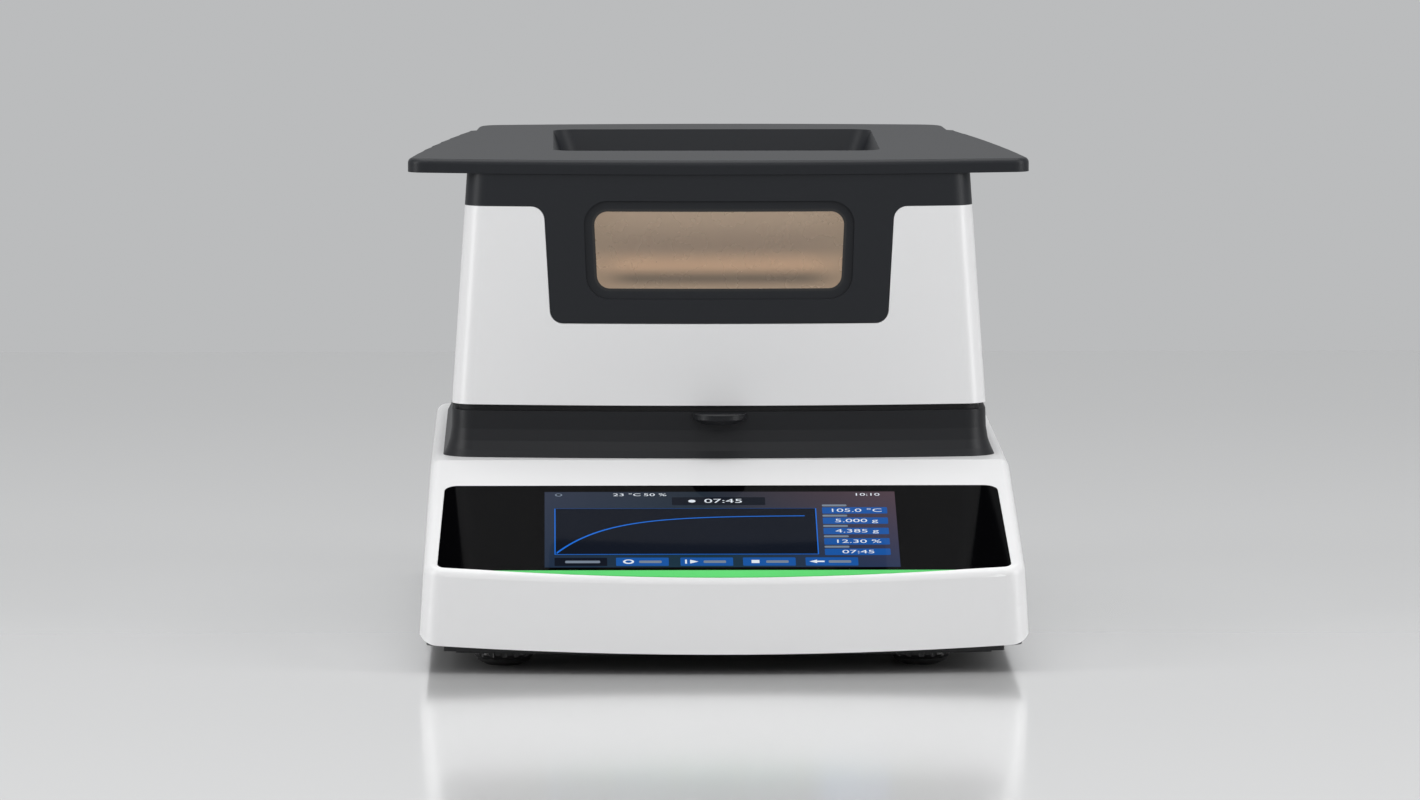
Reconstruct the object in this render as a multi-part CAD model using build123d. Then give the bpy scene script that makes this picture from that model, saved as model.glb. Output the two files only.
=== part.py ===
from build123d import *
import math
import os

# Bench moisture analyzer, in millimetres, +Z up.
# While modelling, Y is counted from the base's front edge towards the back and Z from the table.
# save() moves every piece back by half the base's depth, so the origin lies under the middle.

# Base
base_depth = 400.0
base_half_width = 132.3
base_side_draft = 0.059
base_front_lean = 0.8
base_low_z = 9.0
base_front_z = 42.0
deck_z = 80.5
slope_rise = 0.3
front_bow = 9.5
base_corner_r = 10.0
shoulder_r = 4.0
belly_rise = 3.5
belly_corner_r = 9.0
base_wall = 3.0
deck_hole_r = 14.0

# Base plate, its screws and the feet
plate_t = 2.5
plate_drop = 2.0
plate_gap = 0.3
plate_rim_t = 2.0
plate_rim_cover = 1.0
plate_step = 1.3
plate_step_inset = 10.8
plate_foot_inset = 16.0
plate_hollow_inset = 14.5
boss_r = 5.0
screw_r = 1.5
screw_head_r = 3.0
screw_head_t = 1.6
screw_bite = 8.0
screw_gap = 0.05
base_screw_side = 20.0
base_screw_front_y = 40.0
base_screw_rear_inset = 28.0
front_foot_left_x = -95.5
front_foot_right_x = 86.0
front_foot_y = 44.0
rear_foot_x = 95.0
rear_foot_inset = 55.0
foot_boss_r = 11.0
foot_boss_h = 14.0
insert_r = 7.0
insert_h = 10.0
stud_r = 4.0
stud_gap = 0.05
stud_reach = 6.0
pad_r = 11.5
pad_t = 3.0
pad_edge = 4.0
pad_edge_h = 2.0
wheel_r = 14.0
wheel_notches = 16
wheel_notch_r = 1.6
foot_gap = 0.3

# Front panel on the slope
glass_front_y = 9.2
glass_corner_y = 12.6
glass_back_y = 100.0
glass_half_front = 124.2
glass_half_back = 121.6
glass_front_r = 4.0
glass_back_r = 6.0
glass_t = 1.8
glass_gap = 0.15
lcd_length = 164.0
lcd_height = 90.0
lcd_t = 4.5
lcd_x = -0.8
lcd_gap = 1.0
board_t = 1.6
display_board_length = 150.0
display_board_height = 70.0
display_board_stand = 3.0
display_post_r = 2.5
light_half_length = 100.0
light_margin = 2.0
light_gap = 0.1
light_board_gap = 0.4
led_pitch = 15.0
led_count = 9
led_size = 2.0
led_h = 1.2

# Weighing chamber
collar_h = 20.5
collar_half = 119.0
collar_flare = 4.0
collar_front_y = 138.0
collar_rear_margin = 26.0
collar_bow = 10.0
collar_corner_r = 11.0
collar_wall = 9.0
collar_floor = 3.0
collar_hole_r = 12.0
tab_r = 12.0
tab_reach = 13.7
tab_t = 4.4
tab_low_r = 8.0
seal_inset = 3.0
seal_width = 4.0
seal_h = 2.4
shield_margin = 4.0
shield_t = 1.0
shield_rim_h = 5.0
shield_hub_r = 9.0
shield_hub_h = 2.5
draft_r = 64.0
draft_wall = 3.0
draft_h = 13.5

# Pan, carrier, lifter and load cell
pan_margin = 7.0
pan_t = 0.6
pan_h = 8.0
pan_rim = 4.5
rest_gap = 0.2
lifter_clear = 1.0
carrier_arms = 3
carrier_arm_inset = 7.0
carrier_arm_w = 6.0
carrier_arm_t = 2.0
carrier_tip_h = 3.0
carrier_hub_r = 8.0
stem_r = 4.0
stem_seat = 10.0
stem_gap = 0.1
weighing_travel = 0.5
lifter_gap = 1.0
lifter_width = 7.0
lifter_t = 2.0
lifter_arm_w = 14.0
lifter_arm_inset = 17.0
lifter_grip_h = 4.0
lifter_grip_w = 30.0
lifter_grip_r = 3.0
cell_length = 110.0
cell_width = 36.0
cell_h = 30.0
cell_z = 26.0
cell_slot_r = 6.0
cell_bracket_t = 4.0
cell_bracket_depth = 26.0
cell_bracket_toe = 8.0
cell_front_reach = 12.0

# Boards and supply inside the base
main_board_length = 80.0
main_board_depth = 110.0
main_board_x = -62.0
main_board_inset = 210.0
main_chip = 24.0
main_chip_t = 3.0
main_socket_w = 10.0
main_socket_length = 60.0
main_socket_h = 9.0
cap_count = 4
cap_r = 4.0
cap_h = 12.0
cap_pitch = 14.0
cap_inset = 15.0
board_post_r = 3.0
board_post_inset = 4.0
board_stand = 5.0
supply_length = 60.0
supply_depth = 110.0
supply_h = 32.0
supply_x = 72.0
supply_inset = 132.0
supply_slots = 6
supply_slot_w = 6.0
supply_slot_margin = 10.0
supply_slot_depth = 2.0

# Rear panel and what it carries
rear_open_half = 112.0
rear_open_low = 17.0
rear_open_high = 72.0
rear_open_r = 4.0
panel_t = 2.0
panel_lap = 3.0
flange_t = 2.0
inlet_x = 84.0
inlet_z = 44.0
inlet_width = 27.0
inlet_height = 20.0
inlet_depth = 20.0
inlet_wall = 2.0
inlet_flange = 50.0
inlet_pin_w = 2.0
inlet_pin_h = 4.0
inlet_pin_reach = 12.0
inlet_pin_pitch = 7.0
rocker_x = 44.0
rocker_width = 14.0
rocker_height = 21.0
rocker_depth = 16.0
rocker_wall = 2.0
rocker_gap = 0.4
rocker_tilt = 10.0
rocker_pin_r = 1.5
rocker_pin_gap = 0.05
rocker_pin_reach = 1.2
port_x = 8.0
port_width = 12.0
port_height = 11.0
port_depth = 16.0
port_wall = 1.2
port_tongue = 2.0
fan_x = -62.0
fan_size = 50.0
fan_depth = 15.0
fan_bore_r = 23.0
fan_hub_r = 9.0
fan_tip_gap = 0.8
fan_blades = 7
fan_blade_t = 1.2
fan_blade_pitch = 35.0
fan_plate_t = 1.5
fan_shaft_r = 1.5
fan_shaft_gap = 0.05
fan_guard_t = 1.2
fan_guard_wire = 1.4
fan_guard_rings = 4
level_x = -108.0
level_r = 8.0
level_h = 5.0
level_inset = 12.0
level_rim = 1.5
level_dip = 1.0

# Hood and lid
hood_gap = 0.3
hood_top_z = 191.5
hood_draft = 0.066
hood_front_lean = 0.088
hood_back_lean = 0.08
hood_wall = 3.0
neck_top_z = 206.0
lid_top_z = 212.2
wing_tip_half = 138.6
wing_straight = 9.0
wing_mid_half = 129.8
wing_mid_inset = 148.0
wing_end_half = 113.4
wing_end_inset = 47.0
wing_step = 3.0
lid_back_half = 108.5
lid_back_margin = 8.0
lid_back_bow = 8.0
lid_lip = 0.8
wing_tip_r = 9.0
lid_back_r = 12.0
lid_edge_r = 2.4
apron_half_top = 77.9
apron_half_low = 74.9
apron_low_z = 140.0
apron_corner_r = 6.0
apron_gap = 0.2
recess_half = 73.7
recess_front_y = 210.0
recess_back_margin = 40.0
recess_depth = 14.0
recess_draft = 5.0
recess_corner_r = 10.0
recess_wall = 2.5
grille_t = 2.5
grille_ledge = 6.0
grille_gap = 0.2
grille_pitch = 10.0
grille_slot_w = 5.0
grille_rib = 3.0
window_low_z = 154.2
window_high_z = 190.6
window_half_low = 55.3
window_half_top = 57.0
window_corner_r = 7.0
window_bevel = 3.6
window_bevel_depth = 1.2
window_rim = 1.2
window_t = 1.2

# Lining, lamp and probe inside the hood
lining_gap = 5.0
lining_t = 1.0
lining_top_z = 192.0
lining_fit = 0.2
lamp_ring_r = 40.0
lamp_tube_r = 4.5
lamp_z = 161.0
lamp_gap_angle = 30.0
socket_size = 14.0
socket_h = 8.0
reflector_r = 58.0
reflector_t = 1.0
reflector_z = 181.0
reflector_drop = 9.0
reflector_slope = 14.0
reflector_neck_r = 8.0
reflector_leg_gap = 1.0
clip_w = 5.0
clip_t = 0.8
clip_gap = 0.1
clip_count = 3
guard_ring_r = 62.0
guard_bar_r = 1.5
guard_t = 2.0
guard_z = 149.0
guard_bars = 5
guard_posts = 3
guard_post_r = 1.2
probe_r = 2.0
probe_z = 145.5
probe_tip_reach = 20.0
probe_gap = 0.1
probe_gland_r = 5.0
probe_gland_t = 3.5

# Hinge
hinge_inset = 13.0
hinge_z = 97.0
hinge_x = 78.0
pin_r = 3.0
pin_gap = 0.05
ear_r = 9.0
ear_t = 4.0
ear_gap = 0.5
knuckle_length = 22.0
knuckle_r = 7.0
knuckle_plate_t = 3.0
knuckle_plate_h = 24.0
knuckle_plate_w = 38.0
bracket_base_t = 3.0
hinge_screw_pitch = 15.0
hinge_screw_rise = 12.0
hinge_screw_r = 1.5
hinge_screw_head_r = 2.8
hinge_screw_head_t = 1.4

# Values that follow
slope_angle = math.degrees(math.atan(slope_rise))
slope_cos = math.cos(math.radians(slope_angle))
slope_end_y = (deck_z - base_front_z) / slope_rise
cavity_top_z = deck_z - base_wall
base_screw_x = base_half_width - base_screw_side
base_screw_rear_y = base_depth - base_screw_rear_inset
base_screw_rows = [base_screw_front_y, (base_screw_front_y + base_screw_rear_y) / 2, base_screw_rear_y]
base_screw_places = [(side * base_screw_x, y) for y in base_screw_rows for side in (-1, 1)]
rear_foot_y = base_depth - rear_foot_inset
plate_low_z = base_low_z - plate_drop
plate_top_z = plate_low_z + plate_t
collar_floor_z = deck_z + collar_floor
collar_top_z = deck_z + collar_h
seal_top_z = collar_top_z + seal_h
hood_low_z = seal_top_z + hood_gap
collar_back_y = base_depth - collar_rear_margin
chamber_y = (collar_front_y + collar_back_y) / 2
shield_r = min(collar_half, chamber_y - collar_front_y) - collar_wall - shield_margin
pan_r = draft_r - draft_wall - lifter_width - pan_margin
carrier_arm_r = pan_r - carrier_arm_inset
lifter_arm_end = chamber_y - collar_front_y - collar_wall - lifter_arm_inset
draft_low_z = collar_floor_z + shield_t
draft_top_z = draft_low_z + draft_h
lifter_low_z = draft_top_z + rest_gap
pan_rim_z = lifter_low_z + lifter_t + lifter_clear
pan_floor_z = pan_rim_z + pan_t - pan_h
carrier_top_z = pan_floor_z - rest_gap
cell_top_z = cell_z + cell_h
main_board_y = base_depth - main_board_inset
supply_y = base_depth - supply_inset
level_y = base_depth - level_inset
hinge_y = base_depth - hinge_inset
lid_back_y = base_depth - lid_back_margin
wing_mid_y = lid_back_y - wing_mid_inset
wing_end_y = lid_back_y - wing_end_inset
recess_back_y = lid_back_y - recess_back_margin
probe_tip_y = chamber_y + probe_tip_reach
rear_inner_y = base_depth - base_wall
panel_inner_y = rear_inner_y - panel_t
slope = Plane(
    origin=(0, 0, base_front_z),
    x_dir=(1, 0, 0),
    z_dir=(0, -math.sin(math.radians(slope_angle)), slope_cos),
)
foot_places = [
    ("front_left", front_foot_left_x, front_foot_y),
    ("front_right", front_foot_right_x, front_foot_y),
    ("rear_left", -rear_foot_x, rear_foot_y),
    ("rear_right", rear_foot_x, rear_foot_y),
]


def save(name, shape):
    moved = Pos(0, -base_depth / 2, 0) * shape
    solids = moved.solids()
    whole = solids[0] if len(solids) == 1 else Compound(children=list(solids))
    export_step(whole, f"parts/{name}.step")


def block(x0, x1, y0, y1, z0, z1):
    centre = ((x0 + x1) / 2, (y0 + y1) / 2, (z0 + z1) / 2)
    return Pos(*centre) * Box(x1 - x0, y1 - y0, z1 - z0)


def rod(x, y, z0, z1, radius):
    return Pos(x, y, (z0 + z1) / 2) * Cylinder(radius, z1 - z0)


def rod_along_x(x0, x1, y, z, radius):
    return Pos((x0 + x1) / 2, y, z) * Rot(0, 90, 0) * Cylinder(radius, x1 - x0)


def rod_along_y(x, y0, y1, z, radius):
    return Pos(x, (y0 + y1) / 2, z) * Rot(90, 0, 0) * Cylinder(radius, y1 - y0)


def bowed_plan(half, front_y, back_y, bow, corner_r, back_bow=0.0):
    """A plan outline whose front edge bulges forward by bow, and its back edge by back_bow."""
    left_front, right_front = (-half, front_y + bow), (half, front_y + bow)
    left_back, right_back = (-half, back_y - back_bow), (half, back_y - back_bow)
    edges = [
        ThreePointArc(left_front, (0, front_y), right_front),
        Line(right_front, right_back),
        Line(left_back, left_front),
    ]
    if back_bow:
        edges.append(ThreePointArc(right_back, (0, back_y), left_back))
    else:
        edges.append(Line(right_back, left_back))
    face = make_face(edges)
    return fillet(face.vertices(), corner_r)


def stack(outlines):
    """A ruled body through a list of (height, outline)."""
    return loft([(Pos(0, 0, z) * outline).face() for z, outline in outlines], ruled=True)


# Base housing
def base_section(z, inset):
    half = base_half_width - base_side_draft * (z - base_low_z) - inset
    front = base_front_lean * (z - base_low_z) / (base_front_z - base_low_z) + inset
    corner = max(base_corner_r - inset, 1.0)
    return bowed_plan(half, front, base_depth - inset, front_bow, corner)


def base_side_profile(low_z, drop):
    """The wedge seen from the side, its top lowered by drop."""
    top = deck_z - drop
    reach = base_depth * 0.1
    front_top = base_front_z - drop - slope_rise * reach
    outline = Polyline(
        (-reach, low_z),
        (base_depth + reach, low_z),
        (base_depth + reach, top),
        (slope_end_y, top),
        (-reach, front_top),
        close=True,
    )
    return extrude(Plane.YZ * make_face(outline), base_half_width * 2, both=True)


def base_belly():
    """The front view's lower edge, which rises towards both sides in one arc with round corners."""
    half = base_half_width + 1
    high = deck_z * 2
    arc = ThreePointArc((-half, base_low_z + belly_rise), (0, base_low_z), (half, base_low_z + belly_rise))
    sides = Polyline(
        (half, base_low_z + belly_rise),
        (half, high),
        (-half, high),
        (-half, base_low_z + belly_rise),
    )
    face = make_face([arc, sides])
    low = [v for v in face.vertices() if v.Z < high / 2 and v.Y < high / 2]
    face = fillet(low, belly_corner_r)
    return extrude(Plane.XZ * face, base_depth * 2, both=True)


def base_solid(inset, drop, low_z):
    high_z = deck_z + base_wall
    body = stack([(low_z, base_section(low_z, inset)), (high_z, base_section(high_z, inset))])
    return body & base_side_profile(low_z, drop)


def shoulder_edges(body):
    """The rim of the slope and the deck, without the line where they meet."""
    found = ShapeList()
    for edge in body.edges():
        middle = edge.center()
        top = min(deck_z, base_front_z + slope_rise * middle.Y)
        if abs(middle.Z - top) > 0.6 or abs(middle.X) < 1 and middle.Y < base_depth - 5:
            continue
        found.append(edge)
    return found


def on_slope(x, y, depth=0.0):
    """A place on the slope, y counted level, depth below the surface."""
    return slope * Pos(x, y / slope_cos, -depth)


def glass_outline(gap):
    """The cover glass's outline on the slope: straight along the light bar, then back to its corners."""
    y0, y1 = glass_front_y / slope_cos - gap, glass_back_y / slope_cos + gap
    corner_y = glass_corner_y / slope_cos - gap
    corners = [
        (-light_half_length, y0),
        (light_half_length, y0),
        (glass_half_front + gap, corner_y),
        (glass_half_back + gap, y1),
        (-glass_half_back - gap, y1),
        (-glass_half_front - gap, corner_y),
    ]
    face = make_face(Polyline(*corners, close=True))
    middle = (y0 + y1) / 2
    front = [v for v in face.vertices() if v.Y < middle and abs(v.X) > light_half_length + 1]
    face = fillet(front, glass_front_r)
    return fillet([v for v in face.vertices() if v.Y > middle], glass_back_r)


def light_outline(gap):
    """The light bar's outline: straight along the glass, bulging forward like the housing."""
    half = light_half_length + gap * 10
    back = (glass_front_y - glass_gap) / slope_cos - max(-gap, 0)
    front = light_margin / slope_cos - gap
    arc = ThreePointArc((-half, back), (0, front), (half, back))
    return make_face([arc, Line((half, back), (-half, back))])


def lcd_centre_y():
    return (glass_front_y + glass_back_y) / 2 + 0.5


def screw_bosses():
    bosses = []
    for x, y in base_screw_places:
        top = min(cavity_top_z, base_front_z + slope_rise * y - base_wall)
        bosses.append(rod(x, y, plate_top_z, top + 1, boss_r))
    return bosses


def base_housing():
    body = base_solid(0, 0, base_low_z - 1)
    edges = shoulder_edges(body)
    rest = edges.filter_by(lambda e: e.center().Y >= front_bow + base_front_lean)
    body = fillet(rest, shoulder_r)
    body = body & base_belly()
    cavity = base_solid(base_wall, base_wall, base_low_z - 2)
    body = body - cavity + [boss & base_solid(1, 1, base_low_z - 1) for boss in screw_bosses()]
    body -= slope * extrude(Pos(0, 0, -glass_t) * glass_outline(glass_gap), glass_t + 5)
    slot_depth = base_wall + led_h + board_t
    body -= slope * extrude(Pos(0, 0, -slot_depth) * light_outline(light_gap), slot_depth + 5)
    window = on_slope(lcd_x, lcd_centre_y()) * Box(
        lcd_length + lcd_gap, lcd_height + lcd_gap, base_wall * 4
    )
    body -= window
    body -= rod(0, chamber_y, cavity_top_z - 5, deck_z + 5, deck_hole_r)
    mid_z = (rear_open_low + rear_open_high) / 2
    opening = RectangleRounded(2 * rear_open_half, rear_open_high - rear_open_low, rear_open_r)
    body -= Pos(0, base_depth, mid_z) * extrude(Plane.XZ * opening, base_wall + 1, both=True)
    for x, y in base_screw_places:
        body -= rod(x, y, plate_top_z - 1, plate_top_z + screw_bite + 1, screw_r + screw_gap)
    return body


def touch_glass():
    return slope * extrude(Pos(0, 0, -glass_t) * glass_outline(0), glass_t)


def lcd_module():
    centre = on_slope(lcd_x, lcd_centre_y(), glass_t + lcd_t / 2)
    return centre * Box(lcd_length, lcd_height, lcd_t)


def display_board():
    depth = glass_t + lcd_t + display_board_stand + board_t / 2
    centre = on_slope(lcd_x, lcd_centre_y(), depth)
    board = centre * Box(display_board_length, display_board_height, board_t)
    for x in (-1, 1):
        for y in (-1, 1):
            place = Pos(
                x * (display_board_length / 2 - display_post_r * 2),
                y * (display_board_height / 2 - display_post_r * 2),
                (board_t + display_board_stand) / 2,
            )
            board += centre * place * Cylinder(display_post_r, display_board_stand)
    board += centre * Pos(0, 0, -board_t / 2 - 2) * Box(24, 24, 4)
    board += centre * Pos(45, 0, -board_t / 2 - 3) * Box(10, 40, 6)
    return board


def status_light():
    return slope * extrude(Pos(0, 0, -base_wall) * light_outline(0), base_wall)


def light_board():
    """A crescent strip of small lamps under the light bar, in the same slot."""
    depth = base_wall + led_h + board_t
    strip = slope * extrude(Pos(0, 0, -depth) * light_outline(-light_board_gap), board_t)
    y = glass_front_y - glass_gap - led_size
    for step in range(led_count):
        x = (step - (led_count - 1) / 2) * led_pitch
        strip += on_slope(x, y, base_wall + led_h / 2) * Box(led_size, led_size, led_h)
    return strip


# Weighing chamber
def collar_plan(z, inset=0.0):
    """The collar's outline at a height: level with the hood above, flaring out near the deck."""
    rise = (z - deck_z) / collar_h
    out = collar_flare * (1 - rise) ** 3 - inset
    return bowed_plan(
        collar_half + out,
        collar_front_y - out,
        collar_back_y + out,
        collar_bow,
        collar_corner_r + out,
    )


def collar_tab():
    """The half-round thumb tab under the rim, tapering downwards."""
    top_z = collar_top_z - 0.6
    centre_y = collar_front_y - (tab_reach - tab_r)
    root = collar_wall / 2

    def outline(radius):
        disc = Pos(0, centre_y) * Circle(radius)
        return disc + Pos(0, (centre_y + collar_front_y + root) / 2) * Rectangle(
            2 * radius, collar_front_y + root - centre_y
        )

    top = extrude(Pos(0, 0, top_z - tab_t / 2) * outline(tab_r), tab_t / 2)
    low = stack([(top_z - tab_t, outline(tab_low_r)), (top_z - tab_t / 2, outline(tab_r))])
    return top + low


def chamber_collar():
    heights = [deck_z + collar_h * share for share in (0, 0.15, 0.35, 0.6, 1)]
    body = stack([(z, collar_plan(z)) for z in heights]) + collar_tab()
    inner = extrude(
        Pos(0, 0, collar_floor_z)
        * bowed_plan(
            collar_half - collar_wall,
            collar_front_y + collar_wall,
            collar_back_y - collar_wall,
            collar_bow,
            collar_corner_r,
        ),
        collar_h,
    )
    return body - inner - rod(0, chamber_y, deck_z - 1, collar_floor_z + 1, collar_hole_r)


def seal_plan(inset):
    return collar_plan(collar_top_z, inset)


def chamber_seal():
    outer = extrude(Pos(0, 0, collar_top_z) * seal_plan(seal_inset), seal_h)
    inner = extrude(Pos(0, 0, collar_top_z - 1) * seal_plan(seal_inset + seal_width), seal_h + 2)
    return outer - inner


def turned(points, y=chamber_y):
    """A body of revolution about the pan's centre line, from (radius, height) points."""
    profile = make_face(Polyline(*points, close=True))
    return Pos(0, y, 0) * revolve(Plane.XZ * profile, Axis.Z)


def heat_shield():
    z0 = collar_floor_z
    z1 = z0 + shield_t
    return turned([
        (shield_hub_r, z0),
        (shield_r, z0),
        (shield_r, z0 + shield_rim_h),
        (shield_r - shield_t, z0 + shield_rim_h),
        (shield_r - shield_t, z1),
        (shield_hub_r + shield_t, z1),
        (shield_hub_r + shield_t, z1 + shield_hub_h),
        (shield_hub_r, z1 + shield_hub_h),
    ])


def draft_ring():
    ring = turned([
        (draft_r - draft_wall, draft_low_z),
        (draft_r + draft_wall, draft_low_z),
        (draft_r + draft_wall, draft_low_z + draft_wall),
        (draft_r, draft_low_z + draft_wall),
        (draft_r, draft_top_z),
        (draft_r - draft_wall - lifter_width, draft_top_z),
        (draft_r - draft_wall - lifter_width, draft_top_z - draft_wall / 2),
        (draft_r - draft_wall, draft_top_z - draft_wall),
    ])
    return ring


def pan_carrier():
    arm_z = carrier_top_z - carrier_tip_h - carrier_arm_t
    hub = rod(0, chamber_y, arm_z, arm_z + carrier_arm_t + 1, carrier_hub_r)
    body = hub + rod(0, chamber_y, cell_top_z - stem_seat, arm_z + 1, stem_r)
    for index in range(carrier_arms):
        turn = Pos(0, chamber_y, 0) * Rot(0, 0, 90 + 360 / carrier_arms * index)
        body += turn * block(
            0, carrier_arm_r, -carrier_arm_w / 2, carrier_arm_w / 2, arm_z, arm_z + carrier_arm_t
        )
        body += turn * rod(
            carrier_arm_r - carrier_arm_w / 2, 0, arm_z, carrier_top_z, carrier_arm_w / 2
        )
    return body


def sample_pan():
    z0, z1 = pan_floor_z, pan_rim_z + pan_t
    return turned([
        (0, z0),
        (pan_r - 2, z0),
        (pan_r, z0 + 2),
        (pan_r, pan_rim_z),
        (pan_r + pan_rim, pan_rim_z),
        (pan_r + pan_rim, z1),
        (pan_r - pan_t, z1),
        (pan_r - pan_t, z0 + 2 + pan_t / 2),
        (pan_r - 2 - pan_t / 2, z0 + pan_t),
        (0, z0 + pan_t),
    ])


def pan_lifter():
    """An open ring under the pan's rim, with an arm and an upright grip to the front."""
    inner = pan_r + lifter_gap
    outer = inner + lifter_width
    ring = Circle(outer) - Circle(inner)
    ring -= Pos(0, outer) * Rectangle(pan_r, outer)
    arm = Pos(0, -(inner + lifter_width / 2 + lifter_arm_end) / 2) * Rectangle(
        lifter_arm_w, lifter_arm_end - inner - lifter_width / 2
    )
    body = Pos(0, chamber_y, lifter_low_z) * extrude(ring + arm, lifter_t)
    end_y = chamber_y - lifter_arm_end
    grip = block(
        -lifter_grip_w / 2,
        lifter_grip_w / 2,
        end_y,
        end_y + lifter_t,
        lifter_low_z,
        lifter_low_z + lifter_grip_h,
    )
    return body + fillet(grip.edges().filter_by(Axis.Y).group_by(Axis.Z)[-1], lifter_grip_r)


def load_cell():
    """A bar with two thin flexures, hung at its back end, with the carrier's bore at its front end."""
    y0, y1 = cell_ends()
    bar = block(-cell_width / 2, cell_width / 2, y0, y1, cell_z, cell_top_z)
    middle = (y0 + y1) / 2
    mid_z = (cell_z + cell_top_z) / 2
    slot = SlotOverall(cell_length * 0.5, 2 * cell_slot_r)
    bar -= Pos(0, middle, mid_z) * extrude(Plane.YZ * slot, cell_width, both=True)
    bore_low = cell_top_z - stem_seat - 2 * weighing_travel
    return bar - rod(0, chamber_y, bore_low, cell_top_z + 1, stem_r + stem_gap)


def cell_ends():
    y0 = chamber_y - cell_front_reach
    return y0, y0 + cell_length


def load_cell_bracket():
    """A stand on the base plate that carries the load cell's back end."""
    y1 = cell_ends()[1]
    y0 = y1 - cell_bracket_depth
    toe_y = y0 - cell_bracket_toe
    foot = block(-cell_width, cell_width, toe_y, y1, plate_top_z, plate_top_z + cell_bracket_t)
    post = block(-cell_width / 2, cell_width / 2, y0, y1, plate_top_z, cell_z)
    rib = Plane.YZ * make_face(Polyline(
        (toe_y, plate_top_z + cell_bracket_t),
        (y0, plate_top_z + cell_bracket_t),
        (y0, cell_z),
        close=True,
    ))
    return foot + post + extrude(rib, cell_bracket_t / 2, both=True)


# Boards and supply
def board_with_posts(x, y, length, depth, z):
    board = block(x - length / 2, x + length / 2, y - depth / 2, y + depth / 2, z, z + board_t)
    for sx in (-1, 1):
        for sy in (-1, 1):
            post_x = x + sx * (length / 2 - board_post_inset)
            post_y = y + sy * (depth / 2 - board_post_inset)
            board += rod(post_x, post_y, plate_top_z, z, board_post_r)
    return board


def main_board():
    z = plate_top_z + board_stand
    board = board_with_posts(main_board_x, main_board_y, main_board_length, main_board_depth, z)
    top = z + board_t
    board += Pos(main_board_x, main_board_y, top + main_chip_t / 2) * Box(main_chip, main_chip, main_chip_t)
    socket_x = main_board_x - (main_board_length - main_socket_w) / 2
    board += Pos(socket_x, main_board_y, top + main_socket_h / 2) * Box(
        main_socket_w, main_socket_length, main_socket_h
    )
    for step in range(cap_count):
        y = main_board_y + (step - (cap_count - 1) / 2) * cap_pitch
        board += rod(main_board_x + main_board_length / 2 - cap_inset, y, top, top + cap_h, cap_r)
    return board


def power_supply():
    """A closed supply can with cooling slots sunk in its lid."""
    x0, x1 = supply_x - supply_length / 2, supply_x + supply_length / 2
    y0, y1 = supply_y - supply_depth / 2, supply_y + supply_depth / 2
    top = plate_top_z + supply_h
    can = block(x0, x1, y0, y1, plate_top_z, top)
    slot = Box(supply_length - 2 * supply_slot_margin, supply_slot_w, 2 * supply_slot_depth)
    for step in range(supply_slots):
        can -= Pos(supply_x, y0 + supply_depth * (step + 1) / (supply_slots + 1), top) * slot
    return can


# Base plate and feet
def plate_layer(inset, z0, z1):
    return extrude(Pos(0, 0, z0) * base_section(base_low_z, inset), z1 - z0)


def base_plate():
    """A tray: two steps below, a hollow inside, and a rim that fits within the housing's wall."""
    rim_top = base_low_z + belly_rise + plate_rim_cover
    rim_low = rim_top - plate_rim_t
    step_z = plate_low_z + plate_step
    plate = plate_layer(base_wall + plate_gap, rim_low, rim_top)
    plate += plate_layer(plate_step_inset, step_z, rim_low)
    plate += plate_layer(plate_foot_inset, plate_low_z, step_z)
    plate -= plate_layer(plate_hollow_inset, plate_top_z, rim_top + 1)
    for _, x, y in foot_places:
        plate += rod(x, y, plate_low_z, plate_low_z + foot_boss_h, foot_boss_r)
        plate -= rod(x, y, plate_low_z + foot_boss_h - insert_h, plate_low_z + foot_boss_h + 1, insert_r)
        plate -= rod(x, y, plate_low_z - 1, plate_low_z + foot_boss_h, stud_r + 1)
    for x, y in base_screw_places:
        plate -= rod(x, y, plate_low_z - 1, plate_top_z + 1, screw_r + 0.4)
        plate -= rod(x, y, plate_low_z - 1, plate_low_z + screw_head_t, screw_head_r + 0.2)
    return plate


def foot_inserts():
    """Four threaded inserts pressed into the base plate's bosses."""
    inserts = []
    for _, x, y in foot_places:
        z1 = plate_low_z + foot_boss_h
        insert = rod(x, y, z1 - insert_h, z1, insert_r)
        inserts.append(insert - rod(x, y, z1 - insert_h - 1, z1 + 1, stud_r + stud_gap))
    return Compound(children=inserts)


def base_screws():
    screws = []
    for x, y in base_screw_places:
        head = rod(x, y, plate_low_z, plate_low_z + screw_head_t, screw_head_r)
        screws.append(head + rod(x, y, plate_low_z, plate_top_z + screw_bite, screw_r))
    return Compound(children=screws)


def foot_pad(x, y):
    pad = rod(x, y, 0, pad_t, pad_r)
    low = pad.edges().group_by(Axis.Z)[0]
    return chamfer(low, pad_edge, pad_edge_h, reference=pad.faces().sort_by(Axis.Z)[0])


def foot_screw(x, y):
    """A notched thumb wheel with its threaded stud."""
    z0 = pad_t + foot_gap
    z1 = plate_low_z - foot_gap
    wheel = rod(x, y, z0, z1, wheel_r)
    wheel = chamfer(wheel.edges().group_by(Axis.Z)[0], (z1 - z0) * 0.5)
    for index in range(wheel_notches):
        angle = 2 * math.pi * index / wheel_notches
        reach = wheel_r + wheel_notch_r * 0.4
        wheel -= rod(x + reach * math.cos(angle), y + reach * math.sin(angle), z0 - 1, z1 + 1, wheel_notch_r)
    return wheel + rod(x, y, z0, plate_low_z + foot_boss_h + stud_reach, stud_r)


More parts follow.
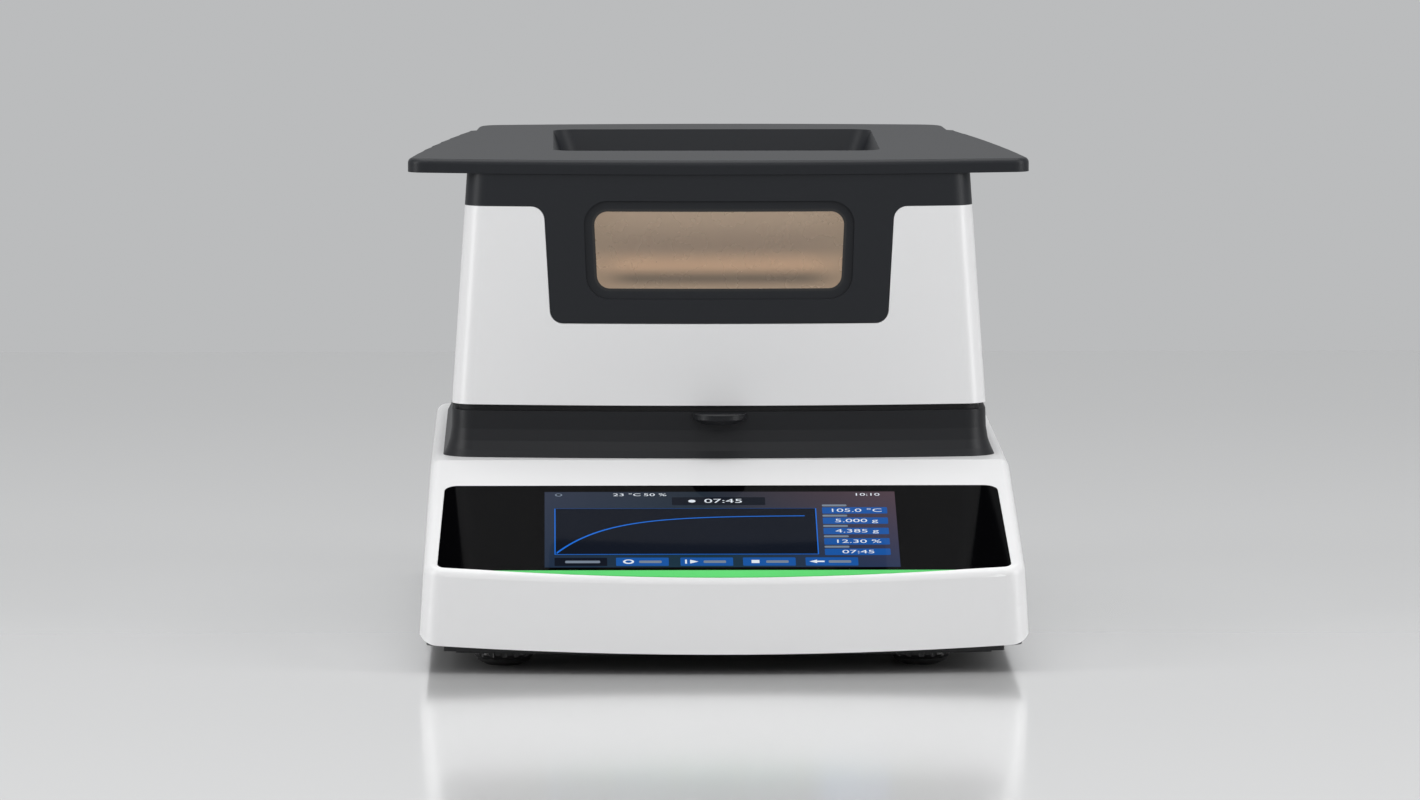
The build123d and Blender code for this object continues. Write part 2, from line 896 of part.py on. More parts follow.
# Rear panel
def rear_panel():
    low, high = rear_open_low - panel_lap, rear_open_high + panel_lap
    half = rear_open_half + panel_lap
    panel = block(-half, half, panel_inner_y, rear_inner_y, low, high)
    cut0, cut1 = panel_inner_y - 1, rear_inner_y + 1
    panel -= block(
        inlet_x - inlet_width / 2 - 0.2,
        inlet_x + inlet_width / 2 + 0.2,
        cut0,
        cut1,
        inlet_z - inlet_height / 2 - 0.2,
        inlet_z + inlet_height / 2 + 0.2,
    )
    panel -= block(
        rocker_x - rocker_width / 2 - 0.2,
        rocker_x + rocker_width / 2 + 0.2,
        cut0,
        cut1,
        inlet_z - rocker_height / 2 - 0.2,
        inlet_z + rocker_height / 2 + 0.2,
    )
    panel -= block(
        port_x - port_width / 2 - 0.2,
        port_x + port_width / 2 + 0.2,
        cut0,
        cut1,
        inlet_z - port_height / 2 - 0.2,
        inlet_z + port_height / 2 + 0.2,
    )
    return panel - rod_along_y(fan_x, cut0, cut1, inlet_z, fan_bore_r)


def power_inlet():
    """A three-pole appliance inlet: flange, chamfered shroud and open socket."""
    flange = block(
        inlet_x - inlet_flange / 2,
        inlet_x + inlet_flange / 2,
        rear_inner_y,
        rear_inner_y + flange_t,
        inlet_z - inlet_height / 2 - 2,
        inlet_z + inlet_height / 2 + 2,
    )
    flange = fillet(flange.edges().filter_by(Axis.Y), 5)
    y0, y1 = rear_inner_y + flange_t - inlet_depth, rear_inner_y + flange_t
    shroud = block(
        inlet_x - inlet_width / 2,
        inlet_x + inlet_width / 2,
        y0,
        y1,
        inlet_z - inlet_height / 2,
        inlet_z + inlet_height / 2,
    )
    socket = block(
        inlet_x - inlet_width / 2 + inlet_wall,
        inlet_x + inlet_width / 2 - inlet_wall,
        y0 + inlet_wall,
        y1 + 1,
        inlet_z - inlet_height / 2 + inlet_wall,
        inlet_z + inlet_height / 2 - inlet_wall,
    )
    socket = chamfer(socket.edges().filter_by(Axis.Y).group_by(Axis.Z)[-1], 4)
    return flange + shroud - socket


def inlet_pins():
    y0 = rear_inner_y + flange_t - inlet_depth + inlet_wall
    pins = []
    for x, z in ((-inlet_pin_pitch, -2), (0, 2), (inlet_pin_pitch, -2)):
        pins.append(
            block(
                inlet_x + x - inlet_pin_w / 2,
                inlet_x + x + inlet_pin_w / 2,
                y0,
                y0 + inlet_pin_reach,
                inlet_z + z - inlet_pin_h / 2,
                inlet_z + z + inlet_pin_h / 2,
            )
        )
    return Compound(children=pins)


def rocker_frame():
    y0, y1 = rear_inner_y + flange_t - rocker_depth, rear_inner_y + flange_t
    half_w, half_h = rocker_width / 2, rocker_height / 2
    flange = block(
        rocker_x - half_w - 2,
        rocker_x + half_w + 2,
        rear_inner_y,
        y1,
        inlet_z - half_h - 2,
        inlet_z + half_h + 2,
    )
    flange = fillet(flange.edges().filter_by(Axis.Y), 2)
    body = flange + block(
        rocker_x - half_w, rocker_x + half_w, y0, y1, inlet_z - half_h, inlet_z + half_h
    )
    body -= block(
        rocker_x - half_w + rocker_wall,
        rocker_x + half_w - rocker_wall,
        y0 + rocker_wall,
        y1 + 1,
        inlet_z - half_h + rocker_wall,
        inlet_z + half_h - rocker_wall,
    )
    return body - rod_along_x(
        rocker_x - half_w + rocker_wall - rocker_pin_reach - rocker_gap,
        rocker_x + half_w - rocker_wall + rocker_pin_reach + rocker_gap,
        rocker_axis_y(),
        inlet_z,
        rocker_pin_r + rocker_pin_gap,
    )


def rocker_axis_y():
    return rear_inner_y + flange_t - rocker_depth * 0.45


def power_rocker():
    """A rocker cap, shallow vee across its face, tilted to its off side at rest."""
    half_w = rocker_width / 2 - rocker_wall - rocker_gap
    half_h = rocker_height / 2 - rocker_wall - rocker_gap * 4
    face = rocker_depth * 0.45 - 0.2
    profile = make_face(Polyline(
        (-rocker_depth * 0.2, -half_h * 0.5),
        (-rocker_depth * 0.2, half_h * 0.5),
        (face, half_h),
        (face - 1, 0),
        (face, -half_h),
        close=True,
    ))
    cap = extrude(Plane.YZ * profile, half_w, both=True)
    pin_half = half_w + rocker_gap + rocker_pin_reach
    pin = rod_along_x(-pin_half, pin_half, 0, 0, rocker_pin_r)
    return Pos(rocker_x, rocker_axis_y(), inlet_z) * Rot(rocker_tilt, 0, 0) * (cap + pin)


def data_port():
    y0, y1 = rear_inner_y + flange_t - port_depth, rear_inner_y + flange_t
    half_w, half_h = port_width / 2, port_height / 2
    shell = block(port_x - half_w, port_x + half_w, y0, y1, inlet_z - half_h, inlet_z + half_h)
    shell -= block(
        port_x - half_w + port_wall,
        port_x + half_w - port_wall,
        y0 + port_wall,
        y1 + 1,
        inlet_z - half_h + port_wall,
        inlet_z + half_h - port_wall,
    )
    tongue = block(
        port_x - half_w * 0.5,
        port_x + half_w * 0.5,
        y0,
        y1 - 6,
        inlet_z - port_tongue / 2,
        inlet_z + port_tongue / 2,
    )
    return shell + tongue


def fan_frame():
    y0, y1 = panel_inner_y - fan_depth, panel_inner_y
    half = fan_size / 2
    frame = block(fan_x - half, fan_x + half, y0, y1, inlet_z - half, inlet_z + half)
    frame = fillet(frame.edges().filter_by(Axis.Y), 3)
    frame -= rod_along_y(fan_x, y0 - 1, y1 + 1, inlet_z, fan_bore_r)
    frame += rod_along_y(fan_x, y0, y0 + fan_plate_t, inlet_z, fan_hub_r)
    for angle in (45, 135):
        strut = Pos(fan_x, y0 + fan_plate_t / 2, inlet_z) * Rot(0, angle, 0)
        frame += strut * Box(2 * fan_bore_r + 2, fan_plate_t, 3)
    return frame + rod_along_y(fan_x, y0, y0 + fan_depth * 0.6, inlet_z, fan_shaft_r)


def fan_rotor():
    y0 = panel_inner_y - fan_depth + fan_plate_t + 0.5
    y1 = panel_inner_y - 1.0
    rotor = rod_along_y(fan_x, y0, y1, inlet_z, fan_hub_r)
    blade_r = fan_bore_r - fan_tip_gap
    for index in range(fan_blades):
        blade = Pos((blade_r + fan_hub_r) / 2 - 0.5, 0, 0) * Rot(fan_blade_pitch, 0, 0) * Box(
            blade_r - fan_hub_r + 1, (y1 - y0) * 0.95, fan_blade_t
        )
        rotor += Pos(fan_x, (y0 + y1) / 2, inlet_z) * Rot(0, 360 / fan_blades * index, 0) * blade
    rotor &= rod_along_y(fan_x, y0, y1, inlet_z, blade_r)
    shaft_end = panel_inner_y - fan_depth * 0.4 + 0.5
    return rotor - rod_along_y(fan_x, y0 - 1, shaft_end, inlet_z, fan_shaft_r + fan_shaft_gap)


def fan_guard():
    """A flat guard of rings and spokes over the fan's opening."""
    half = fan_bore_r + 2
    step = half / fan_guard_rings
    flat = Sketch()
    for index in range(1, fan_guard_rings + 1):
        flat += Circle(step * index) - Circle(step * index - fan_guard_wire)
    flat += Circle(fan_guard_wire * 1.5)
    for angle in (0, 90):
        flat += Rot(0, 0, angle) * Rectangle(2 * half - fan_guard_wire, fan_guard_wire)
    return Pos(fan_x, rear_inner_y + fan_guard_t, inlet_z) * extrude(Plane.XZ * flat, fan_guard_t)


def bubble_level():
    body = rod(level_x, level_y, deck_z, deck_z + level_h, level_r)
    top = deck_z + level_h
    return body - rod(level_x, level_y, top - level_dip, top + 1, level_r - level_rim)


# Hood and lid
def lid_plan(z, inset=0.0):
    """The hood's outline at a height, flush with the collar at its foot."""
    rise = z - hood_low_z
    return bowed_plan(
        collar_half - hood_draft * rise - inset,
        collar_front_y + hood_front_lean * rise + inset,
        collar_back_y + hood_back_lean * rise - inset,
        collar_bow,
        collar_corner_r - min(inset, collar_corner_r - 1),
    )


def lid_body(z0, z1, inset):
    return stack([(z0, lid_plan(z0, inset)), (z1, lid_plan(z1, inset))])


def front_prism(half_low, half_top, z0, z1, corner_r, grow=0.0):
    """A prism through the hood's front, its outline drawn in the front view."""
    face = make_face(Polyline(
        (-half_low - grow, z0 - grow),
        (half_low + grow, z0 - grow),
        (half_top + grow, z1 + grow),
        (-half_top - grow, z1 + grow),
        close=True,
    ))
    face = fillet(face.vertices(), corner_r + grow)
    return Pos(0, chamber_y, 0) * extrude(Plane.XZ * face, base_depth / 2)


def apron_prism(grow):
    """The apron's outline: round lower corners, and hollow corners where it meets the neck band."""
    top = hood_top_z
    high = top + 30
    face = make_face(Polyline(
        (-apron_half_low - grow, apron_low_z - grow),
        (apron_half_low + grow, apron_low_z - grow),
        (apron_half_top + grow, top),
        (base_half_width, top),
        (base_half_width, high),
        (-base_half_width, high),
        (-base_half_width, top),
        (-apron_half_top - grow, top),
        close=True,
    ))
    inner = [v for v in face.vertices() if v.Y < top + 1 and abs(v.X) < base_half_width - 1]
    face = fillet(inner, apron_corner_r)
    return Pos(0, chamber_y, 0) * extrude(Plane.XZ * face, base_depth / 2)


def window_prism(grow):
    return front_prism(
        window_half_low, window_half_top, window_low_z, window_high_z, window_corner_r, grow
    )


def hood_shell():
    shell = lid_body(hood_low_z, hood_top_z, 0) - lid_body(hood_low_z - 1, hood_top_z + 1, hood_wall)
    shell -= apron_prism(apron_gap)
    for x in (-hinge_x, hinge_x):
        for place in hinge_screw_places(x):
            shell -= place * Cylinder(hinge_screw_r, hood_wall * 4)
    return shell


def wing_plan():
    """The lid's outline: bowed front, side wings that curve in towards the back, a step, a bowed back."""
    neck_rise = neck_top_z - hood_low_z
    neck_half = collar_half - hood_draft * neck_rise
    neck_front_y = collar_front_y + hood_front_lean * neck_rise
    front_r = (neck_half**2 + collar_bow**2) / (2 * collar_bow) + lid_lip
    lid_front_y = neck_front_y - lid_lip
    front_corner_y = lid_front_y + front_r - math.sqrt(front_r**2 - wing_tip_half**2)
    side_y = front_corner_y + wing_straight
    step_half = wing_end_half - wing_step

    def side(sign):
        tip = (sign * wing_tip_half, front_corner_y)
        return [
            Line(tip, (sign * wing_tip_half, side_y)),
            ThreePointArc(
                (sign * wing_tip_half, side_y),
                (sign * wing_mid_half, wing_mid_y),
                (sign * wing_end_half, wing_end_y),
            ),
            Line((sign * wing_end_half, wing_end_y), (sign * step_half, wing_end_y + wing_step)),
            Line(
                (sign * step_half, wing_end_y + wing_step),
                (sign * lid_back_half, lid_back_y - lid_back_bow),
            ),
        ]

    front = ThreePointArc((-wing_tip_half, front_corner_y), (0, lid_front_y), (wing_tip_half, front_corner_y))
    back = ThreePointArc(
        (-lid_back_half, lid_back_y - lid_back_bow),
        (0, lid_back_y),
        (lid_back_half, lid_back_y - lid_back_bow),
    )
    face = make_face([front, back] + side(-1) + side(1))
    tips = [v for v in face.vertices() if v.Y < front_corner_y + 1]
    face = fillet(tips, wing_tip_r - 1)
    backs = [v for v in face.vertices() if v.Y > lid_back_y - lid_back_bow - 1]
    return fillet(backs, lid_back_r)


def recess_tub(grow, z0, z1):
    """The drafted top recess, grown outwards by grow, from z0 up to z1."""
    middle = (recess_front_y + recess_back_y) / 2
    outlines = []
    for z in (z0, z1):
        shrink = recess_draft * (lid_top_z - z) / recess_depth - grow
        outlines.append((
            z,
            Pos(0, middle)
            * RectangleRounded(
                2 * (recess_half - shrink),
                recess_back_y - recess_front_y - 2 * shrink,
                recess_corner_r + grow,
            ),
        ))
    return stack(outlines)


def top_cover():
    skin = lid_body(apron_low_z - 1, neck_top_z, 0) - lid_body(apron_low_z - 2, neck_top_z + 1, hood_wall)
    back_half = block(-base_half_width, base_half_width, chamber_y, base_depth, hood_top_z, neck_top_z)
    skin = (skin & apron_prism(0)) + (skin & back_half)
    plate = extrude(Pos(0, 0, neck_top_z) * wing_plan(), lid_top_z - neck_top_z)
    plate = fillet(plate.edges().group_by(Axis.Z)[-1], lid_edge_r)
    cover = skin + plate
    floor_z = lid_top_z - recess_depth
    cover += recess_tub(recess_wall, floor_z - recess_wall, lid_top_z - lid_edge_r)
    cover -= recess_tub(0, floor_z, lid_top_z + 1)
    grille_half, grille_y0, grille_y1 = grille_opening()
    cover -= block(
        -grille_half, grille_half, grille_y0, grille_y1, floor_z - recess_wall - 1, floor_z + 1
    )
    cover -= window_prism(0)
    bevel = window_prism(window_bevel) - lid_body(apron_low_z, neck_top_z, window_bevel_depth)
    return cover - bevel


def grille_opening():
    shrink = recess_draft + grille_ledge
    return recess_half - shrink, recess_front_y + shrink, recess_back_y - shrink


def vent_grille():
    """A ribbed grille on the ledge round the recess floor."""
    floor_z = lid_top_z - recess_depth
    half = recess_half - recess_draft - grille_gap
    y0 = recess_front_y + recess_draft + grille_gap
    y1 = recess_back_y - recess_draft - grille_gap
    slot_half, slot_y0, slot_y1 = grille_opening()
    outline = Pos(0, (y0 + y1) / 2) * RectangleRounded(2 * half, y1 - y0, recess_corner_r)
    count = int((slot_y1 - slot_y0) / grille_pitch)
    for index in range(count):
        y = (slot_y0 + slot_y1) / 2 + grille_pitch * (index - (count - 1) / 2)
        for side in (-1, 1):
            length = slot_half - grille_rib
            outline -= Pos(side * (grille_rib / 2 + length / 2), y) * Rectangle(length, grille_slot_w)
    return extrude(Pos(0, 0, floor_z) * outline, grille_t)


def window_glass():
    """A curved pane that follows the hood's front, leaning as it does."""
    middle_z = (window_low_z + window_high_z) / 2
    rise = middle_z - hood_low_z
    half = collar_half - hood_draft * rise
    front_y = collar_front_y + hood_front_lean * rise
    lean = math.atan(hood_front_lean)
    plane = Plane(
        origin=(0, front_y, middle_z), x_dir=(1, 0, 0), z_dir=(0, math.sin(lean), math.cos(lean))
    )
    radius = (half**2 + collar_bow**2) / (2 * collar_bow)
    outer = Circle(radius - window_bevel_depth)
    inner = Circle(radius - window_bevel_depth - window_t)
    band = Pos(0, radius) * (outer - inner) & Rectangle(2 * half, 2 * collar_bow)
    pane = plane * extrude(band, window_high_z - window_low_z, both=True)
    return pane & window_prism(-window_rim)


def window_frame():
    """The gasket that holds the window in the apron."""
    z0, z1 = window_low_z - 10, window_high_z + 10
    ring = window_prism(0) - window_prism(-window_rim)
    return (ring & lid_body(z0, z1, window_bevel_depth)) - lid_body(z0 - 1, z1 + 1, hood_wall)


def hood_lining():
    """A bright sheet box inside the hood, open below, with a flange to the shell and a window."""
    inset = hood_wall + lining_gap
    low, high = hood_low_z, lining_top_z
    body = lid_body(low, high, inset) + lid_body(low, low + lining_t, hood_wall + lining_fit)
    body -= lid_body(low - 1, high - lining_t, inset + lining_t)
    body -= front_prism(
        window_half_low, window_half_top, window_low_z, window_high_z - lining_t * 3, window_corner_r
    )
    back = lining_back_y()
    return body - rod_along_y(0, back - 3, back + 1, probe_z, probe_r + probe_gap)


def lining_back_y():
    """Where the lining's back wall has its outer face, at the probe's height."""
    return collar_back_y + hood_back_lean * (probe_z - hood_low_z) - hood_wall - lining_gap


def lamp():
    """A ring-shaped tube, open at the back, whose ends rise into the sockets."""
    start = 90 + lamp_gap_angle / 2
    arc = CenterArc((0, 0), lamp_ring_r, start, 360 - lamp_gap_angle)
    path = Pos(0, chamber_y, lamp_z) * arc
    tube = sweep(Plane(path @ 0, z_dir=path % 0) * Circle(lamp_tube_r), path=path)
    for x, y in lamp_ends():
        tube += rod(x, y, lamp_z, lining_top_z - lining_t - socket_h, lamp_tube_r)
        tube += Pos(x, y, lamp_z) * Sphere(lamp_tube_r)
    return tube


def lamp_ends():
    half = math.radians(lamp_gap_angle / 2)
    y = chamber_y + lamp_ring_r * math.cos(half)
    return [(side * lamp_ring_r * math.sin(half), y) for side in (-1, 1)]


def lamp_sockets():
    z1 = lining_top_z - lining_t
    blocks = []
    for x, y in lamp_ends():
        half = socket_size / 2
        blocks.append(block(x - half, x + half, y - half, y + half, z1 - socket_h, z1))
    return Compound(children=blocks)


def reflector():
    """A shallow bright dish above the lamp, on a short neck from the lining."""
    top = lining_top_z - lining_t
    neck, flat = reflector_neck_r, reflector_r - reflector_slope
    dish = turned([
        (neck, top),
        (neck + reflector_t, top),
        (neck + reflector_t, reflector_z),
        (flat, reflector_z),
        (reflector_r, reflector_z - reflector_drop),
        (reflector_r, reflector_z - reflector_drop - reflector_t),
        (flat - reflector_t, reflector_z - reflector_t),
        (neck, reflector_z - reflector_t),
    ])
    for x, y in lamp_ends():
        dish -= rod(x, y, lamp_z, top, lamp_tube_r + reflector_leg_gap)
    return dish


def lamp_clips():
    """Flat spring clips that hang from the dish and hold the lamp's ring."""
    clips = []
    high = reflector_z - reflector_t
    for index in range(clip_count):
        turn = Pos(0, chamber_y, 0) * Rot(0, 0, 270 + 120 * (index - 1))
        inner, outer = lamp_tube_r + clip_gap, lamp_tube_r + clip_gap + clip_t
        profile = Pos(lamp_ring_r, lamp_z) * (Circle(outer) - Circle(inner))
        profile -= Pos(lamp_ring_r, lamp_z - outer) * Rectangle(inner * 2, inner)
        strip = extrude(Plane.XZ * profile, clip_w / 2, both=True)
        strip += block(
            lamp_ring_r - clip_t / 2, lamp_ring_r + clip_t / 2, -clip_w / 2, clip_w / 2, lamp_z + inner, high
        )
        clips.append(turn * strip)
    return Compound(children=clips)


def lamp_guard():
    """A flat ring with parallel bars under the lamp, hung from the lining on three rods."""
    flat = Circle(guard_ring_r + guard_bar_r) - Circle(guard_ring_r - guard_bar_r)
    pitch = 2 * guard_ring_r / (guard_bars + 1)
    for index in range(guard_bars):
        offset = -guard_ring_r + pitch * (index + 1)
        half = math.sqrt(guard_ring_r**2 - offset**2)
        flat += Pos(0, offset) * Rectangle(2 * half, guard_bar_r)
    guard = Pos(0, chamber_y, guard_z - guard_t / 2) * extrude(flat, guard_t)
    for index in range(guard_posts):
        angle = math.radians(30 + 360 / guard_posts * index)
        x, y = guard_ring_r * math.cos(angle), chamber_y + guard_ring_r * math.sin(angle)
        guard += rod(x, y, guard_z, lining_top_z - lining_t, guard_post_r)
    return guard


def temperature_probe():
    """A thin probe that reaches in from the lining's back wall, with its gland behind it."""
    back = lining_back_y()
    probe = rod_along_y(0, probe_tip_y, back + probe_gland_t, probe_z, probe_r)
    gland_y = back + hood_back_lean * probe_gland_r
    return probe + rod_along_y(0, gland_y, back + probe_gland_t, probe_z, probe_gland_r)


# Hinge
def hinge_bracket(x):
    """A clevis on the deck: foot and two round-topped ears."""
    inner = knuckle_length / 2 + ear_gap
    outer = inner + ear_t
    y0, y1 = hinge_y - ear_r, hinge_y + ear_r
    body = block(x - outer, x + outer, y0, y1, deck_z, deck_z + bracket_base_t)
    for side in (-1, 1):
        x0, x1 = sorted((x + side * inner, x + side * outer))
        ear = block(x0, x1, y0, y1, deck_z, hinge_z) + rod_along_x(x0, x1, hinge_y, hinge_z, ear_r)
        body += ear
    return body - rod_along_x(x - outer - 1, x + outer + 1, hinge_y, hinge_z, pin_r)


def hinge_pin(x):
    outer = knuckle_length / 2 + ear_gap + ear_t
    pin = rod_along_x(x - outer, x + outer, hinge_y, hinge_z, pin_r)
    head = rod_along_x(x + outer, x + outer + 1.5, hinge_y, hinge_z, pin_r + 1.5)
    return pin + head


def hood_back_at(z):
    return collar_back_y + hood_back_lean * (z - hood_low_z)


def hinge_knuckle(x):
    """A barrel on the pin, two webs, and a plate against the hood's back."""
    half = knuckle_length / 2
    low, high = hood_low_z + 1, hood_low_z + 1 + knuckle_plate_h
    plate = make_face(Polyline(
        (hood_back_at(low), low),
        (hood_back_at(low) + knuckle_plate_t, low),
        (hood_back_at(high) + knuckle_plate_t, high),
        (hood_back_at(high), high),
        close=True,
    ))
    web = make_face(Polyline(
        (hinge_y - knuckle_r * 0.9, hinge_z),
        (hinge_y + knuckle_r * 0.7, hinge_z + knuckle_r * 0.7),
        (hood_back_at(high) + knuckle_plate_t / 2, high - knuckle_plate_t),
        (hood_back_at(low) + knuckle_plate_t / 2, low),
        close=True,
    ))
    body = rod_along_x(x - half, x + half, hinge_y, hinge_z, knuckle_r)
    body += Pos(x, 0, 0) * extrude(Plane.YZ * plate, knuckle_plate_w / 2, both=True)
    for side in (-1, 1):
        place = Pos(x + side * (half - knuckle_plate_t / 2), 0, 0)
        body += place * extrude(Plane.YZ * web, knuckle_plate_t / 2, both=True)
    for place in hinge_screw_places(x):
        body -= place * Cylinder(hinge_screw_r, knuckle_plate_t * 4)
    return body - rod_along_x(x - half - 1, x + half + 1, hinge_y, hinge_z, pin_r + pin_gap)


def hinge_screw_places(x):
    """Where a knuckle's screws cross the hood's back face, their axes square to it."""
    z = hood_low_z + 1 + hinge_screw_rise
    lean = math.degrees(math.atan(hood_back_lean))
    return [
        Pos(x + side * hinge_screw_pitch, hood_back_at(z), z) * Rot(-90 - lean, 0, 0) for side in (-1, 1)
    ]


def hinge_screws():
    screws = []
    for x in (-hinge_x, hinge_x):
        for place in hinge_screw_places(x):
            length = knuckle_plate_t + hood_wall
            shank = Pos(0, 0, (knuckle_plate_t - hood_wall) / 2) * Cylinder(hinge_screw_r, length)
            head = Pos(0, 0, knuckle_plate_t + hinge_screw_head_t / 2) * Cylinder(
                hinge_screw_head_r, hinge_screw_head_t
            )
            screws.append(place * (shank + head))
    return Compound(children=screws)


def main():
    os.makedirs("parts", exist_ok=True)
    save("base_housing", base_housing())
    save("base_plate", base_plate())
    save("touch_glass", touch_glass())
    save("lcd_module", lcd_module())
    save("display_board", display_board())
    save("status_light", status_light())
    save("light_board", light_board())
    save("chamber_collar", chamber_collar())
    save("chamber_seal", chamber_seal())
    save("heat_shield", heat_shield())
    save("draft_ring", draft_ring())
    save("pan_carrier", pan_carrier())
    save("sample_pan", sample_pan())
    save("pan_lifter", pan_lifter())
    save("load_cell", load_cell())
    save("load_cell_bracket", load_cell_bracket())
    save("main_board", main_board())
    save("power_supply", power_supply())
    save("foot_inserts", foot_inserts())
    save("base_screws", base_screws())
    for place, x, y in foot_places:
        save(f"foot_pad_{place}", foot_pad(x, y))
        save(f"foot_screw_{place}", foot_screw(x, y))
    save("rear_panel", rear_panel())
    save("power_inlet", power_inlet())
    save("inlet_pins", inlet_pins())
    save("rocker_frame", rocker_frame())
    save("power_rocker", power_rocker())
    save("data_port", data_port())
    save("fan_frame", fan_frame())
    save("fan_rotor", fan_rotor())
    save("fan_guard", fan_guard())
    save("bubble_level", bubble_level())
    save("hood_shell", hood_shell())
    save("top_cover", top_cover())
    save("vent_grille", vent_grille())
    save("window_glass", window_glass())
    save("window_frame", window_frame())
    save("hood_lining", hood_lining())
    save("lamp", lamp())
    save("lamp_sockets", lamp_sockets())
    save("reflector", reflector())
    save("lamp_clips", lamp_clips())
    save("lamp_guard", lamp_guard())
    save("temperature_probe", temperature_probe())
    for side, x in (("left", -hinge_x), ("right", hinge_x)):
        save(f"hinge_bracket_{side}", hinge_bracket(x))
        save(f"hinge_pin_{side}", hinge_pin(x))
        save(f"hinge_knuckle_{side}", hinge_knuckle(x))
    save("hinge_screws", hinge_screws())


main()
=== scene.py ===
import math

import bpy
from mathutils import Matrix, Vector


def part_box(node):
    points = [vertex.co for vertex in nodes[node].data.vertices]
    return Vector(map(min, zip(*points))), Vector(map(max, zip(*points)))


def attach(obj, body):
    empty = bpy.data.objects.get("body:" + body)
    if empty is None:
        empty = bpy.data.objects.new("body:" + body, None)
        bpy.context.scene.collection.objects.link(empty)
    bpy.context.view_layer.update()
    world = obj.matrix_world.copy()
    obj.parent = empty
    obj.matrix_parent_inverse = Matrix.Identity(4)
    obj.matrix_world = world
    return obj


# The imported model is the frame: every length below is in metres, in its own axes.
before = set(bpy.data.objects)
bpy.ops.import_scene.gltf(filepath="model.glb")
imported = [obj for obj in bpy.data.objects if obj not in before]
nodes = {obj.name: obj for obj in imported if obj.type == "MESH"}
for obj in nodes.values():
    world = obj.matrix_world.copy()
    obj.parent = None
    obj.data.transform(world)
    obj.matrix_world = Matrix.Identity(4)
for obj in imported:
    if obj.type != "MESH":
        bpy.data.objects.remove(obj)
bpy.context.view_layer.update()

# Base housing and hood shell: white satin ABS mouldings.
# Their faces carry a fine spark-eroded grain that only breaks up the highlights.
moulding_white = (0.77, 0.77, 0.775)


def linear(red, green, blue):
    """A colour on the display scale of 0 to 255, as the shader wants it."""
    shares = (red / 255, green / 255, blue / 255)
    return tuple(((c + 0.055) / 1.055) ** 2.4 if c > 0.04 else c / 12.92 for c in shares) + (1,)


def object_noise(tree, scale, detail=2.0):
    """Noise in Object coordinates, from 0 to 1."""
    place = tree.nodes.new("ShaderNodeTexCoord")
    noise = tree.nodes.new("ShaderNodeTexNoise")
    noise.inputs["Scale"].default_value = scale
    noise.inputs["Detail"].default_value = detail
    tree.links.new(place.outputs["Object"], noise.inputs["Vector"])
    return noise


def ranged(tree, source, start, end, low, high, smooth=False):
    """As source goes from start to end, the output goes from low to high."""
    node = tree.nodes.new("ShaderNodeMapRange")
    if smooth:
        node.interpolation_type = "SMOOTHSTEP"
    for socket, value in (("From Min", start), ("From Max", end), ("To Min", low), ("To Max", high)):
        node.inputs[socket].default_value = value
    tree.links.new(source, node.inputs["Value"])
    return node.outputs[0]


def maths(tree, operation, *sources):
    """A Math node on sockets or plain numbers."""
    node = tree.nodes.new("ShaderNodeMath")
    node.operation = operation
    for socket, source in zip(node.inputs, sources):
        if isinstance(source, (int, float)):
            socket.default_value = source
        else:
            tree.links.new(source, socket)
    return node.outputs[0]


def add_socket(group, name, kind, way, value=None):
    """A named input or output of a node group."""
    socket = group.interface.new_socket(name, in_out=way, socket_type=kind)
    if value is not None:
        socket.default_value = value


def grain_group():
    """Fine moulded grain: a soft mottle in colour and gloss, and a height for the bump."""
    group = bpy.data.node_groups.new("moulded_grain", "ShaderNodeTree")
    add_socket(group, "Colour", "NodeSocketColor", "INPUT", (0.8, 0.8, 0.8, 1))
    add_socket(group, "Mottle", "NodeSocketFloat", "INPUT", 0.04)
    add_socket(group, "Roughness", "NodeSocketFloat", "INPUT", 0.4)
    add_socket(group, "Grain", "NodeSocketFloat", "INPUT", 1400.0)
    add_socket(group, "Color", "NodeSocketColor", "OUTPUT")
    add_socket(group, "Gloss", "NodeSocketFloat", "OUTPUT")
    add_socket(group, "Height", "NodeSocketFloat", "OUTPUT")
    make, link = group.nodes.new, group.links.new
    inside, outside = make("NodeGroupInput"), make("NodeGroupOutput")
    fine = object_noise(group, 1.0, 3)
    link(inside.outputs["Grain"], fine.inputs["Scale"])
    broad = object_noise(group, 14, 4)
    shift = maths(group, "SUBTRACT", broad.outputs["Fac"], 0.5)
    spread = maths(group, "MULTIPLY_ADD", shift, inside.outputs["Mottle"], 1.0)
    shade = make("ShaderNodeVectorMath")
    shade.operation = "SCALE"
    link(inside.outputs["Colour"], shade.inputs[0])
    link(spread, shade.inputs["Scale"])
    link(shade.outputs[0], outside.inputs["Color"])
    spots = ranged(group, fine.outputs["Fac"], 0, 1, 0.88, 1.12)
    link(maths(group, "MULTIPLY", inside.outputs["Roughness"], spots), outside.inputs["Gloss"])
    link(fine.outputs["Fac"], outside.inputs["Height"])
    return group


moulded_grain = grain_group()


def new_material(name):
    """A material with its node tree and its main shader."""
    material = bpy.data.materials.new(name)
    material.use_nodes = True
    return material, material.node_tree, material.node_tree.nodes["Principled BSDF"]


def add_bump(tree, shader, height, strength, distance):
    """Feeds a height to the shader's normal."""
    bump = tree.nodes.new("ShaderNodeBump")
    bump.inputs["Strength"].default_value = strength
    bump.inputs["Distance"].default_value = distance
    tree.links.new(height, bump.inputs["Height"])
    tree.links.new(bump.outputs["Normal"], shader.inputs["Normal"])


